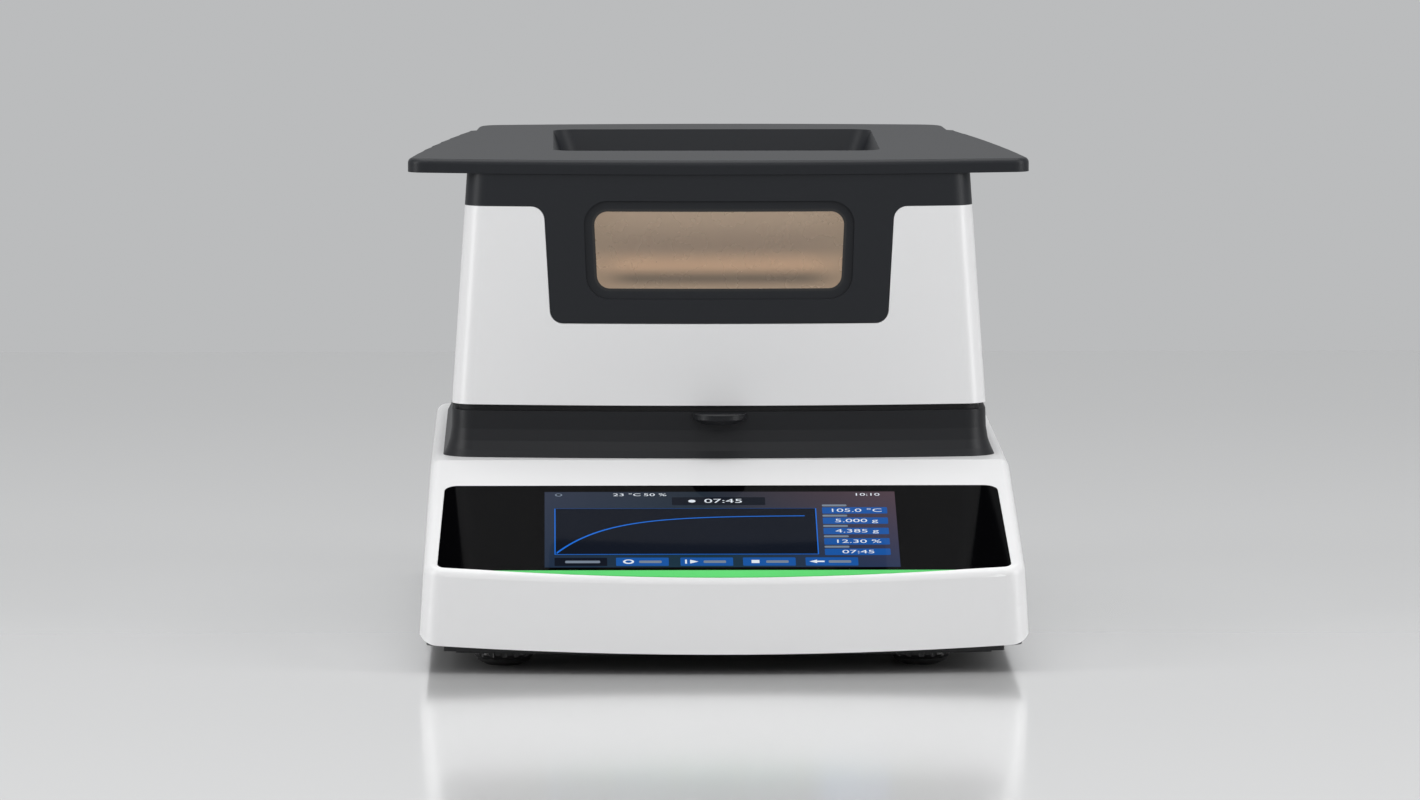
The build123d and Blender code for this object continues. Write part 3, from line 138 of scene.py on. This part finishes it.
def grained(name, colour, roughness, grain=1400.0, strength=0.12, mottle=0.04, metallic=0.0):
    """A moulded or painted finish of one colour with its own grain."""
    material, tree, shader = new_material(name)
    group = tree.nodes.new("ShaderNodeGroup")
    group.node_tree = moulded_grain
    group.inputs["Colour"].default_value = colour if len(colour) == 4 else (*colour, 1)
    group.inputs["Roughness"].default_value = roughness
    group.inputs["Grain"].default_value = grain
    group.inputs["Mottle"].default_value = mottle
    tree.links.new(group.outputs["Color"], shader.inputs["Base Color"])
    tree.links.new(group.outputs["Gloss"], shader.inputs["Roughness"])
    add_bump(tree, shader, group.outputs["Height"], strength, 0.0001)
    shader.inputs["Metallic"].default_value = metallic
    return material


def finish_nodes(material, *names):
    """Gives CAD nodes a finish."""
    for name in names:
        for place in nodes[name].material_slots:
            place.material = material


white_moulding = grained("white_moulding", moulding_white, 0.30, strength=0.06, mottle=0.02)
finish_nodes(white_moulding, "base_housing", "hood_shell")

# Top cover and vent grille: charcoal mouldings on the hood, a shade warmer in gloss than the collar.
# The plate with the side wings, the neck and the front apron are one piece.
cover_colour = linear(27, 29, 33)
cover_plastic = grained("cover_plastic", cover_colour, 0.42, strength=0.10)
finish_nodes(cover_plastic, "top_cover", "vent_grille")

# Chamber collar, hinge brackets and knuckles, pan lifter: the same charcoal, slightly darker.
# The collar stands on the deck round the chamber, and the lifter lies over the draft ring.
collar_colour = linear(23, 24, 27)
collar_plastic = grained("collar_plastic", collar_colour, 0.42, strength=0.10)
for dark in (cover_plastic, collar_plastic):
    dark.node_tree.nodes["Principled BSDF"].inputs["Specular IOR Level"].default_value = 0.25
finish_nodes(collar_plastic, "chamber_collar", "pan_lifter")
for side in ("left", "right"):
    finish_nodes(collar_plastic, f"hinge_bracket_{side}", f"hinge_knuckle_{side}")

# Base plate: a stepped steel plate, screwed under the housing.
# Its black powder coat has a coarse, dull texture.
powder_black = grained("powder_black", linear(34, 34, 36), 0.6, grain=700, strength=0.35, mottle=0.08)
finish_nodes(powder_black, "base_plate")

# Levelling feet: nitrile pads under black nylon thumb wheels on threaded studs.
# Each stud turns in a brass insert in the base, and its pad moves up and down without turning.
pad_rubber = grained("pad_rubber", linear(24, 24, 25), 0.75, grain=900, strength=0.25, mottle=0.12)
wheel_nylon = grained("wheel_nylon", linear(30, 30, 32), 0.42, grain=1100, strength=0.15)
foot_names = ("front_left", "front_right", "rear_left", "rear_right")
for place in foot_names:
    finish_nodes(pad_rubber, f"foot_pad_{place}")
    finish_nodes(wheel_nylon, f"foot_screw_{place}")

# Seals: the soft strip on the collar's rim and the window's gasket.
# Both are extruded black rubber, dull and a little cloudy.
seal_rubber = grained("seal_rubber", linear(16, 16, 17), 0.62, grain=1000, strength=0.2, mottle=0.1)
finish_nodes(seal_rubber, "chamber_seal", "window_frame")

# Sheet and turned metal inside the chamber and the hood: stainless steel, brushed.
# A stretched noise gives the brush lines, and the same noise varies the gloss.
brush_stretch = (60.0, 60.0, 4000.0)


def brushed_group():
    """Brush lines in tone, gloss and height, from noise stretched along the strokes."""
    group = bpy.data.node_groups.new("brushed_metal", "ShaderNodeTree")
    add_socket(group, "Colour", "NodeSocketColor", "INPUT", (0.7, 0.7, 0.7, 1))
    add_socket(group, "Roughness", "NodeSocketFloat", "INPUT", 0.3)
    add_socket(group, "Stretch", "NodeSocketVector", "INPUT", brush_stretch)
    add_socket(group, "Color", "NodeSocketColor", "OUTPUT")
    add_socket(group, "Gloss", "NodeSocketFloat", "OUTPUT")
    add_socket(group, "Height", "NodeSocketFloat", "OUTPUT")
    make, link = group.nodes.new, group.links.new
    inside, outside = make("NodeGroupInput"), make("NodeGroupOutput")
    place = make("ShaderNodeTexCoord")
    pull = make("ShaderNodeVectorMath")
    pull.operation = "MULTIPLY"
    link(place.outputs["Object"], pull.inputs[0])
    link(inside.outputs["Stretch"], pull.inputs[1])
    lines = make("ShaderNodeTexNoise")
    lines.inputs["Scale"].default_value = 1
    lines.inputs["Detail"].default_value = 4
    link(pull.outputs[0], lines.inputs["Vector"])
    tone = ranged(group, lines.outputs["Fac"], 0, 1, 0.9, 1.06)
    shade = make("ShaderNodeVectorMath")
    shade.operation = "SCALE"
    link(inside.outputs["Colour"], shade.inputs[0])
    link(tone, shade.inputs["Scale"])
    link(shade.outputs[0], outside.inputs["Color"])
    patch = ranged(group, lines.outputs["Fac"], 0, 1, 0.8, 1.25)
    link(maths(group, "MULTIPLY", patch, inside.outputs["Roughness"]), outside.inputs["Gloss"])
    link(lines.outputs["Fac"], outside.inputs["Height"])
    return group


brushed_metal = brushed_group()


def brushed(name, colour, roughness, stretch=brush_stretch, strength=0.08):
    """A metal of one colour with its own brush lines."""
    material, tree, shader = new_material(name)
    group = tree.nodes.new("ShaderNodeGroup")
    group.node_tree = brushed_metal
    group.inputs["Colour"].default_value = (*colour, 1)
    group.inputs["Roughness"].default_value = roughness
    group.inputs["Stretch"].default_value = stretch
    tree.links.new(group.outputs["Color"], shader.inputs["Base Color"])
    tree.links.new(group.outputs["Gloss"], shader.inputs["Roughness"])
    add_bump(tree, shader, group.outputs["Height"], strength, 0.0001)
    shader.inputs["Metallic"].default_value = 1.0
    return material


stainless = brushed("stainless", (0.62, 0.62, 0.63), 0.28)
finish_nodes(stainless, "heat_shield", "hood_lining", "draft_ring", "lamp_guard")
finish_nodes(stainless, "pan_carrier", "power_supply", "data_port", "lcd_module")

# Reflector, sample pan and load cell: aluminium, each with the finish of its own making.
# The reflector is spun and polished, the pan pressed from foil, and the cell milled from a bar.
polished = brushed("polished_aluminium", (0.86, 0.86, 0.87), 0.12, (400, 400, 400), 0.03)
pressed = brushed("pressed_aluminium", (0.80, 0.80, 0.82), 0.25, (900, 900, 900), 0.15)
milled = brushed("milled_aluminium", (0.72, 0.73, 0.75), 0.32, (2500, 60, 2500), 0.1)
finish_nodes(polished, "reflector")
finish_nodes(pressed, "sample_pan")
finish_nodes(milled, "load_cell", "load_cell_bracket")

# Small metal: screws, pins, lamp clips, the fan's guard and the probe are bright or zinc-plated steel.
# The feet's inserts and the inlet's pins are turned brass.
zinc = brushed("zinc_steel", (0.56, 0.56, 0.58), 0.26, (1500, 1500, 1500), 0.1)
brass = brushed("brass", (0.72, 0.53, 0.24), 0.24, (1500, 1500, 1500), 0.1)
finish_nodes(zinc, "base_screws", "hinge_screws", "lamp_clips", "temperature_probe")
finish_nodes(zinc, "hinge_pin_left", "hinge_pin_right", "fan_guard")
finish_nodes(brass, "foot_inserts", "inlet_pins")

# Circuit boards: one in the base, one behind the screen, and a narrow one under the light bar.
# They are glass fibre under a green solder mask.
solder_mask = grained("solder_mask", (0.02, 0.14, 0.06), 0.3, grain=500, strength=0.1, mottle=0.3)
finish_nodes(solder_mask, "main_board", "display_board", "light_board")

# Rear panel and its fittings: a dark painted sheet at the back of the base.
# The inlet, the switch's frame and the fan are black nylon, and the rocker is glossier.
panel_paint = grained("panel_paint", linear(48, 49, 52), 0.5, grain=900, strength=0.25)
black_nylon = grained("black_nylon", linear(27, 27, 29), 0.4, grain=1200, strength=0.12)
rocker_gloss = grained("rocker_gloss", linear(24, 24, 26), 0.2, grain=1200, strength=0.04)
finish_nodes(panel_paint, "rear_panel")
finish_nodes(black_nylon, "power_inlet", "rocker_frame", "fan_frame", "fan_rotor")
finish_nodes(rocker_gloss, "power_rocker")

# Lamp sockets: a pair of unglazed white steatite blocks under the lining's roof.
# They hold the two ends of the lamp's tube.
steatite = grained("steatite", (0.80, 0.77, 0.70), 0.55, grain=800, strength=0.2, mottle=0.08)
finish_nodes(steatite, "lamp_sockets")

# Halogen ring lamp: a clear quartz tube, bent to a ring and held by three clips.
# A faint cloudiness comes from heat and handling.
def ramped(tree, source, *stops, ease=False):
    """A colour ramp through (place, colour) stops."""
    node = tree.nodes.new("ShaderNodeValToRGB")
    if ease:
        node.color_ramp.interpolation = "EASE"
    node.color_ramp.elements[0].color = stops[0][1]
    node.color_ramp.elements[1].color = stops[-1][1]
    for place, colour in stops[1:-1]:
        node.color_ramp.elements.new(place).color = colour
    tree.links.new(source, node.inputs["Fac"])
    return node.outputs["Color"]


def cloud_noise(tree, shader, scale, low_gloss, high_gloss, low_tone, high_tone):
    """A faint cloudiness in a clear piece: noise that moves its tone and its gloss."""
    cloud = object_noise(tree, scale, 5).outputs["Fac"]
    tree.links.new(ranged(tree, cloud, 0, 1, low_gloss, high_gloss), shader.inputs["Roughness"])
    tree.links.new(ramped(tree, cloud, (0, low_tone), (1, high_tone)), shader.inputs["Base Color"])


lamp_quartz, quartz_tree, quartz = new_material("lamp_quartz")
quartz.inputs["Transmission Weight"].default_value = 0.75
quartz.inputs["IOR"].default_value = 1.46
cloud_noise(quartz_tree, quartz, 90, 0.05, 0.2, linear(232, 230, 224), linear(248, 248, 246))
finish_nodes(lamp_quartz, "lamp")

# Hood window: a smoked, heat-resistant pane, bowed with the hood's front.
# Its colour is painted light and shade: bands of tone stand for the lit chamber seen blurred behind it, and
# fade towards its two ends.
def object_axes(tree):
    """The three Object coordinates, as separate outputs."""
    place = tree.nodes.new("ShaderNodeTexCoord")
    split = tree.nodes.new("ShaderNodeSeparateXYZ")
    tree.links.new(place.outputs["Object"], split.inputs[0])
    return split.outputs


window_smoke, smoke_tree, smoke = new_material("window_smoke")
smoke.inputs["Transmission Weight"].default_value = 0.3
smoke.inputs["IOR"].default_value = 1.45
pane_low, pane_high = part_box("window_glass")
even_half = 0.036
smoke_axes = object_axes(smoke_tree)
painted_light_rise = ranged(smoke_tree, smoke_axes["Z"], pane_low.z, pane_high.z, 0, 1)
painted_light_places = (0, 0.13, 0.3, 0.55, 1)
# Painted light and shade up the pane: a dark painted band low down, a bright painted band above it in the
# middle, softer towards the ends.
middle_painted_light = ((190, 166, 142), (138, 122, 106), (214, 180, 150), (166, 146, 128), (192, 170, 148))
edge_painted_light = ((190, 164, 140), (182, 158, 134), (196, 168, 142), (170, 150, 130), (184, 162, 140))
painted_light_bands = []
for tones in (middle_painted_light, edge_painted_light):
    stops = [(place, linear(*tone)) for place, tone in zip(painted_light_places, tones)]
    painted_light_bands.append(ramped(smoke_tree, painted_light_rise, *stops, ease=True))
smoke_off = maths(smoke_tree, "ABSOLUTE", smoke_axes["X"])
painted_light_mix = smoke_tree.nodes.new("ShaderNodeMix")
painted_light_mix.data_type = "RGBA"
painted_light_side = ranged(smoke_tree, smoke_off, even_half, pane_high.x, 0, 1, smooth=True)
smoke_tree.links.new(painted_light_side, painted_light_mix.inputs["Factor"])
smoke_tree.links.new(painted_light_bands[0], painted_light_mix.inputs["A"])
smoke_tree.links.new(painted_light_bands[1], painted_light_mix.inputs["B"])
smoke_tree.links.new(painted_light_mix.outputs["Result"], smoke.inputs["Base Color"])
smoke_noise = object_noise(smoke_tree, 120).outputs["Fac"]
smoke_tree.links.new(ranged(smoke_tree, smoke_noise, 0, 1, 0.2, 0.34), smoke.inputs["Roughness"])
finish_nodes(window_smoke, "window_glass")

# Cover glass: one sheet of tempered glass over the whole sloping front.
# It is printed black behind, and only the picture shows through.
cover_glass = grained("cover_glass", linear(3, 3, 4), 0.06, grain=300, strength=0.0, mottle=0.3)
cover_glass.node_tree.nodes["Principled BSDF"].inputs["Specular IOR Level"].default_value = 0.01
finish_nodes(cover_glass, "touch_glass")

# Status light: a frosted crescent along the glass's front edge, lit green from below.
# It fills a slot in front of the glass, and is brightest in the middle.
light_bar, light_tree, light_shader = new_material("light_bar")
cloud_noise(light_tree, light_shader, 700, 0.3, 0.45, linear(38, 140, 62), linear(48, 158, 74))
light_shader.inputs["Emission Strength"].default_value = 0.42
lit_off = maths(light_tree, "ABSOLUTE", object_axes(light_tree)["X"])
lit_reach = ranged(light_tree, lit_off, 0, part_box("status_light")[1].x, 0, 1)
lit_tone = ramped(light_tree, lit_reach, (0, linear(92, 226, 112)), (1, linear(60, 196, 84)))
light_tree.links.new(lit_tone, light_shader.inputs["Emission Color"])
finish_nodes(light_bar, "status_light")

# Bubble level: a clear acrylic cup with a yellow-green liquid, on the rear deck.
level_acrylic, level_tree, level_shader = new_material("level_acrylic")
level_shader.inputs["Transmission Weight"].default_value = 0.4
cloud_noise(level_tree, level_shader, 160, 0.05, 0.12, linear(160, 200, 60), linear(182, 218, 84))
finish_nodes(level_acrylic, "bubble_level")


def deselect():
    """Leaves nothing selected, so an operator acts on the new piece alone."""
    for other in list(bpy.context.selected_objects):
        other.select_set(False)


# Air bubble and centring ring of the level: the bubble is pressed flat under the lens.
# The ring is printed in black on the lens.
bubble_r, bubble_flat = 0.0022, 0.35
ring_r, ring_wire = 0.0034, 0.0002
level_low, level_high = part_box("bubble_level")
level_middle = ((level_low.x + level_high.x) / 2, (level_low.y + level_high.y) / 2, level_high.z - 0.0001)
bubble_air, bubble_tree, bubble_shader = new_material("bubble_air")
cloud_noise(bubble_tree, bubble_shader, 300, 0.05, 0.1, linear(214, 236, 150), linear(232, 246, 180))
deselect()
bpy.ops.mesh.primitive_uv_sphere_add(segments=32, ring_count=16, radius=bubble_r)
bubble = bpy.context.active_object
bubble.name = "level_bubble"
bubble.data.transform(Matrix.Translation(Vector(level_middle)) @ Matrix.Diagonal((1, 1, bubble_flat, 1)))
bpy.ops.object.shade_smooth()
bubble.data.materials.append(bubble_air)
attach(bubble, "base")
ring_print = grained("ring_print", linear(20, 20, 20), 0.4, grain=900)
deselect()
bpy.ops.mesh.primitive_torus_add(
    major_radius=ring_r, minor_radius=ring_wire, major_segments=48, minor_segments=8
)
ring = bpy.context.active_object
ring.name = "level_ring"
ring.data.transform(Matrix.Translation(Vector(level_middle)))
bpy.ops.object.shade_smooth()
ring.data.materials.append(ring_print)
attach(ring, "base")

# The lit picture on the display: a graph of the drying curve, five readings and five soft keys.
# Each shape is a thin sheet laid just over the cover glass, in layers of a twentieth of a millimetre.
slope_rise = 0.3
slope_angle = math.atan(slope_rise)
base_front_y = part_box("base_housing")[0].y
deck_front_z = 0.042
screen_left, screen_right = -0.0778, 0.0762
screen_front_y, screen_back_y = 0.0125, 0.0971
layer_step = 0.00005
slope_foot = Vector((0, base_front_y, deck_front_z))
on_slope = Matrix.Translation(slope_foot) @ Matrix.Rotation(slope_angle, 4, "X")


def glowing(name, colour, strength=1.0):
    """Lit pixels seen through the glass, with the glass's own gloss on top."""
    material, tree, shader = new_material(name)
    shader.inputs["Base Color"].default_value = (0.002, 0.002, 0.002, 1)
    shader.inputs["Roughness"].default_value = 0.06
    shader.inputs["Specular IOR Level"].default_value = 0.01
    dim = tuple(c * 0.88 for c in colour[:3]) + (1,)
    bright = tuple(min(c * 1.1, 1) for c in colour[:3]) + (1,)
    flicker = object_noise(tree, 60).outputs["Fac"]
    tree.links.new(ramped(tree, flicker, (0, dim), (1, bright)), shader.inputs["Emission Color"])
    shader.inputs["Emission Strength"].default_value = strength
    return material


def on_screen(u, v):
    """A place in the picture, from 0 to 1 across and up, as metres on the slope."""
    return (
        screen_left + u * (screen_right - screen_left),
        screen_front_y + v * (screen_back_y - screen_front_y),
    )


def lay(piece, name, layer, material):
    """Puts a flat piece on the slope at its layer, and lets it ride on the base."""
    piece.name = name
    piece.data.transform(on_slope @ Matrix.Translation(Vector((0, 0, layer * layer_step))))
    piece.data.materials.clear()
    piece.data.materials.append(material)
    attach(piece, "base")
    return piece


def sheet_piece(name, u0, v0, u1, v1, layer, material, corner=0.0006):
    """A rounded rectangle between two places in the picture."""
    x0, y0 = on_screen(u0, v0)
    x1, y1 = on_screen(u1, v1)
    deselect()
    bpy.ops.mesh.primitive_plane_add(size=1)
    piece = bpy.context.active_object
    centre = Vector(((x0 + x1) / 2, (y0 + y1) / 2, 0))
    piece.data.transform(Matrix.Translation(centre) @ Matrix.Diagonal((x1 - x0, y1 - y0, 1, 1)))
    if corner:
        bpy.ops.object.mode_set(mode="EDIT")
        bpy.ops.mesh.select_all(action="SELECT")
        bpy.ops.mesh.bevel(offset=corner, offset_type="OFFSET", segments=4, affect="VERTICES")
        bpy.ops.object.mode_set(mode="OBJECT")
    return lay(piece, name, layer, material)


def disc_piece(name, u, v, radius, layer, material, corners=24, turn=0.0):
    """A filled regular shape: a disc, or a triangle for an arrow."""
    x, y = on_screen(u, v)
    deselect()
    bpy.ops.mesh.primitive_circle_add(vertices=corners, radius=radius, fill_type="NGON")
    piece = bpy.context.active_object
    piece.data.transform(Matrix.Translation(Vector((x, y, 0))) @ Matrix.Rotation(turn, 4, "Z"))
    return lay(piece, name, layer, material)


def words_piece(name, body, u, v, height, layer, material, align="CENTER"):
    """Plain figures in the default face, made a mesh and laid on the picture."""
    x, y = on_screen(u, v)
    deselect()
    bpy.ops.object.text_add()
    words = bpy.context.active_object
    words.data.body = body
    words.data.size = height
    words.data.align_x = align
    words.data.align_y = "CENTER"
    bpy.ops.object.convert(target="MESH")
    piece = bpy.context.active_object
    piece.data.transform(Matrix.Translation(Vector((x, y, 0))) @ Matrix.Diagonal((1.25, 1, 1, 1)))
    return lay(piece, name, layer, material)


picture_dark = glowing("picture_dark", linear(14, 20, 32))
picture_blue = glowing("picture_blue", linear(24, 84, 160))
picture_line = glowing("picture_line", linear(30, 110, 215))
picture_white = glowing("picture_white", linear(225, 232, 240))
picture_grey = glowing("picture_grey", linear(120, 132, 148))

picture_back, back_tree, back_shader = new_material("picture_back")
back_shader.inputs["Base Color"].default_value = (0.002, 0.002, 0.002, 1)
back_shader.inputs["Roughness"].default_value = 0.06
back_shader.inputs["Specular IOR Level"].default_value = 0.01
back_axes = object_axes(back_tree)
back_across = ranged(back_tree, back_axes["X"], screen_left, screen_right, 0, 1)
back_top_z = deck_front_z + screen_back_y * math.sin(slope_angle)
back_up = ranged(back_tree, back_axes["Z"], deck_front_z, back_top_z, 0, 1)
top_tones = (0, linear(48, 55, 72)), (0.45, linear(34, 43, 54)), (1, linear(78, 62, 70))
low_tones = (0, linear(28, 44, 66)), (0.45, linear(22, 52, 66)), (1, linear(30, 50, 84))
top_glow = ramped(back_tree, back_across, *top_tones)
low_glow = ramped(back_tree, back_across, *low_tones)
back_mix = back_tree.nodes.new("ShaderNodeMix")
back_mix.data_type = "RGBA"
back_tree.links.new(back_up, back_mix.inputs["Factor"])
back_tree.links.new(low_glow, back_mix.inputs["A"])
back_tree.links.new(top_glow, back_mix.inputs["B"])
back_tree.links.new(back_mix.outputs["Result"], back_shader.inputs["Emission Color"])
back_shader.inputs["Emission Strength"].default_value = 1.0

sheet_piece("picture", 0, 0, 1, 1, 1, picture_back, corner=0)
sheet_piece("picture_title", 0.363, 0.82, 0.629, 0.925, 2, picture_dark)
words_piece("picture_clock", "07:45", 0.51, 0.872, 0.0062, 3, picture_white)
disc_piece("picture_title_dot", 0.42, 0.872, 0.0016, 3, picture_white)

graph_left, graph_right, graph_low, graph_high = 0.028, 0.773, 0.165, 0.775
rule_u, rule_v = 0.003, 0.006
sheet_piece("graph_field", graph_left, graph_low, graph_right, graph_high, 2, picture_dark, 0)
for name, u0, v0, u1, v1, tone in (
    ("graph_left", graph_left, graph_low, graph_left + rule_u, graph_high, picture_line),
    ("graph_right", graph_right - rule_u, graph_low, graph_right, graph_high, picture_line),
    ("graph_low", graph_left, graph_low, graph_right, graph_low + rule_v, picture_line),
    ("graph_high", graph_left, graph_high - rule_v / 2, graph_right, graph_high, picture_blue),
):
    sheet_piece(name, u0, v0, u1, v1, 3, tone, 0)

# The drying curve is one ribbon of even width.
# It rises fast and levels off, as the sample gives up its water.
curve_steps = 60
curve_bend = 5.0
curve_width = 0.0008
deselect()
bpy.ops.mesh.primitive_grid_add(x_subdivisions=curve_steps, y_subdivisions=1, size=1)
curve_piece = bpy.context.active_object
for vertex in curve_piece.data.vertices:
    share = vertex.co.x + 0.5
    climb = 0.80 * (1 - math.exp(-curve_bend * share)) / (1 - math.exp(-curve_bend))
    u = graph_left + 0.006 + share * (graph_right - graph_left - 0.04)
    v = graph_low + 0.02 + climb * (graph_high - graph_low)
    x, y = on_screen(u, v)
    vertex.co = Vector((x, y + vertex.co.y * curve_width * (1 + 1.6 * math.exp(-curve_bend * share)), 0))
lay(curve_piece, "drying_curve", 3, picture_line)

# Five readings stand in fields to the right of the graph, each under its small grey label.
reading_left, reading_right = 0.79, 0.975
reading_top, reading_pitch = 0.84, 0.137
label_length = 0.07
readings = ["105.0 °C", "5.000 g", "4.385 g", "12.30 %", "07:45"]
for index, reading in enumerate(readings):
    top = reading_top - reading_pitch * index
    label_right = reading_left + label_length
    low, high = top - reading_pitch, top - 0.052
    label_low, label_high = top - 0.04, top - 0.015
    sheet_piece(f"reading_label_{index}", reading_left, label_low, label_right, label_high, 2, picture_grey)
    sheet_piece(f"reading_field_{index}", reading_left, low, reading_right, high, 2, picture_blue)
    words_piece(f"reading_{index}", reading, 0.885, top - 0.096, 0.0052, 3, picture_white)

# Five soft keys along the foot, the first one dark, each with a bar for its word and a plain mark.
key_lefts = [0.028, 0.201, 0.382, 0.558, 0.734]
key_width, key_low, key_high = 0.148, 0.018, 0.125
mark_inset, mark_r = 0.035, 0.0024
mark_v = (key_low + key_high) / 2
rest_low, rest_high = mark_v - 0.026, mark_v + 0.026
tail_low, tail_high = mark_v - 0.009, mark_v + 0.009
for index, left in enumerate(key_lefts):
    tone = picture_blue if index else picture_dark
    sheet_piece(f"key_{index}", left, key_low, left + key_width, key_high, 2, tone)
    mark_u = left + mark_inset
    bar_left = mark_u + 0.03 if index else left + 0.03
    bar_right = left + key_width - 0.02
    sheet_piece(f"key_bar_{index}", bar_left, mark_v - 0.018, bar_right, mark_v + 0.014, 3, picture_grey)
    if index == 1:
        disc_piece("key_mark_loop", mark_u, mark_v, mark_r, 3, picture_white)
        disc_piece("key_mark_loop_inside", mark_u, mark_v, 0.0014, 4, picture_blue)
    elif index == 2:
        disc_piece("key_mark_run", mark_u, mark_v, mark_r, 3, picture_white, 3, -math.pi / 2)
        sheet_piece("key_mark_rest", mark_u - 0.022, rest_low, mark_u - 0.017, rest_high, 3, picture_white, 0)
    elif index == 3:
        disc_piece("key_mark_stop", mark_u, mark_v, mark_r, 3, picture_white, 4, math.pi / 4)
    elif index == 4:
        disc_piece("key_mark_back", mark_u - 0.01, mark_v, 0.0022, 3, picture_white, 3, math.pi / 2)
        sheet_piece("key_mark_tail", mark_u - 0.008, tail_low, mark_u + 0.018, tail_high, 3, picture_white, 0)

# A status line along the top: a small ring, the room's warmth and dampness, and the time.
status_v = 0.958
disc_piece("status_ring", 0.04, status_v, 0.0016, 2, picture_grey)
disc_piece("status_ring_inside", 0.04, status_v, 0.0010, 3, picture_dark)
words_piece("status_warmth", "23 °C", 0.235, status_v, 0.0042, 2, picture_white)
words_piece("status_damp", "50 %", 0.315, status_v, 0.0042, 2, picture_white)
words_piece("status_time", "10:10", 0.92, status_v, 0.0042, 2, picture_white)

# Floor: pale card with a coat that mirrors the object softly; its colour is painted lighter towards the
# viewer, a painted fall of light.
# It ends a little behind the object, and the world stands in for the wall, so no view is blocked.
floor_front, floor_back, floor_half = -9.0, 1.35, 8.0
deselect()
bpy.ops.mesh.primitive_plane_add(size=1)
backdrop = bpy.context.active_object
backdrop.name = "backdrop"
backdrop.data.transform(
    Matrix.Translation(Vector((0, (floor_front + floor_back) / 2, 0)))
    @ Matrix.Diagonal((2 * floor_half, floor_back - floor_front, 1, 1))
)
backdrop_paper_painted_light, paper_tree, paper = new_material("backdrop_paper_painted_light")
# Painted light: the card's colour grows paler towards the viewer, where the light falls brighter.
painted_light_reach = ranged(paper_tree, object_axes(paper_tree)["Y"], -0.6, 1.0, 0, 1)
painted_floor_light = ramped(paper_tree, painted_light_reach, (0, linear(246, 246, 246)), (1, linear(198, 198, 198)))
paper_tree.links.new(painted_floor_light, paper.inputs["Base Color"])
paper.inputs["Roughness"].default_value = 0.22
paper.inputs["Coat Weight"].default_value = 1.0
paper.inputs["Coat Roughness"].default_value = 0.12
backdrop.data.materials.append(backdrop_paper_painted_light)


# Studio light: a broad box overhead, tall boxes at both sides, and a soft one behind the viewer.
# The world adds a little from all round, and shows paler to the camera and in gloss and glass.
def softbox(name, place, aim, width, height, power):
    """A rectangular area light that faces a point."""
    lamp = bpy.data.lights.new(name, "AREA")
    lamp.shape = "RECTANGLE"
    lamp.size, lamp.size_y, lamp.energy = width, height, power
    holder = bpy.data.objects.new(name, lamp)
    bpy.context.scene.collection.objects.link(holder)
    holder.location = place
    holder.rotation_euler = (Vector(aim) - Vector(place)).to_track_quat("-Z", "Y").to_euler()


middle = (0, 0, 0.1)
softbox("box_top", (0, 0.1, 2.2), middle, 2.4, 2.4, 40)
softbox("box_left", (-1.9, -0.7, 0.9), middle, 0.7, 1.8, 20)
softbox("box_right", (1.9, -0.7, 0.9), middle, 0.7, 1.8, 20)
softbox("box_front", (0, -3.2, 1.9), middle, 2.5, 1.5, 18)

world = bpy.data.worlds.new("studio")
bpy.context.scene.world = world
world.use_nodes = True
sky = world.node_tree.nodes["Background"]
sky.inputs["Color"].default_value = (0.8, 0.81, 0.82, 1)
sky_path = world.node_tree.nodes.new("ShaderNodeLightPath")
sky_seen = maths(
    world.node_tree, "MAXIMUM", sky_path.outputs["Is Camera Ray"], sky_path.outputs["Is Glossy Ray"]
)
sky_any = maths(world.node_tree, "MAXIMUM", sky_seen, sky_path.outputs["Is Transmission Ray"])
sky_strength = ranged(world.node_tree, sky_any, 0, 1, 0.25, 0.62)
world.node_tree.links.new(sky_strength, sky.inputs["Strength"])

# The camera stands in front, a little above the object, with a long lens.
camera_place = Vector((-0.07506, -4.48473, 0.52865))
camera_dip = math.radians(5.455)
camera_turn = math.radians(0.917)
camera = bpy.data.cameras.new("camera")
camera.sensor_width = 36.0
camera.lens = 253.52
camera_holder = bpy.data.objects.new("camera", camera)
bpy.context.scene.collection.objects.link(camera_holder)
camera_holder.location = camera_place
camera_holder.rotation_euler = (math.pi / 2 - camera_dip, 0, -camera_turn)
bpy.context.scene.camera = camera_holder
bpy.context.scene.view_settings.view_transform = "Standard"
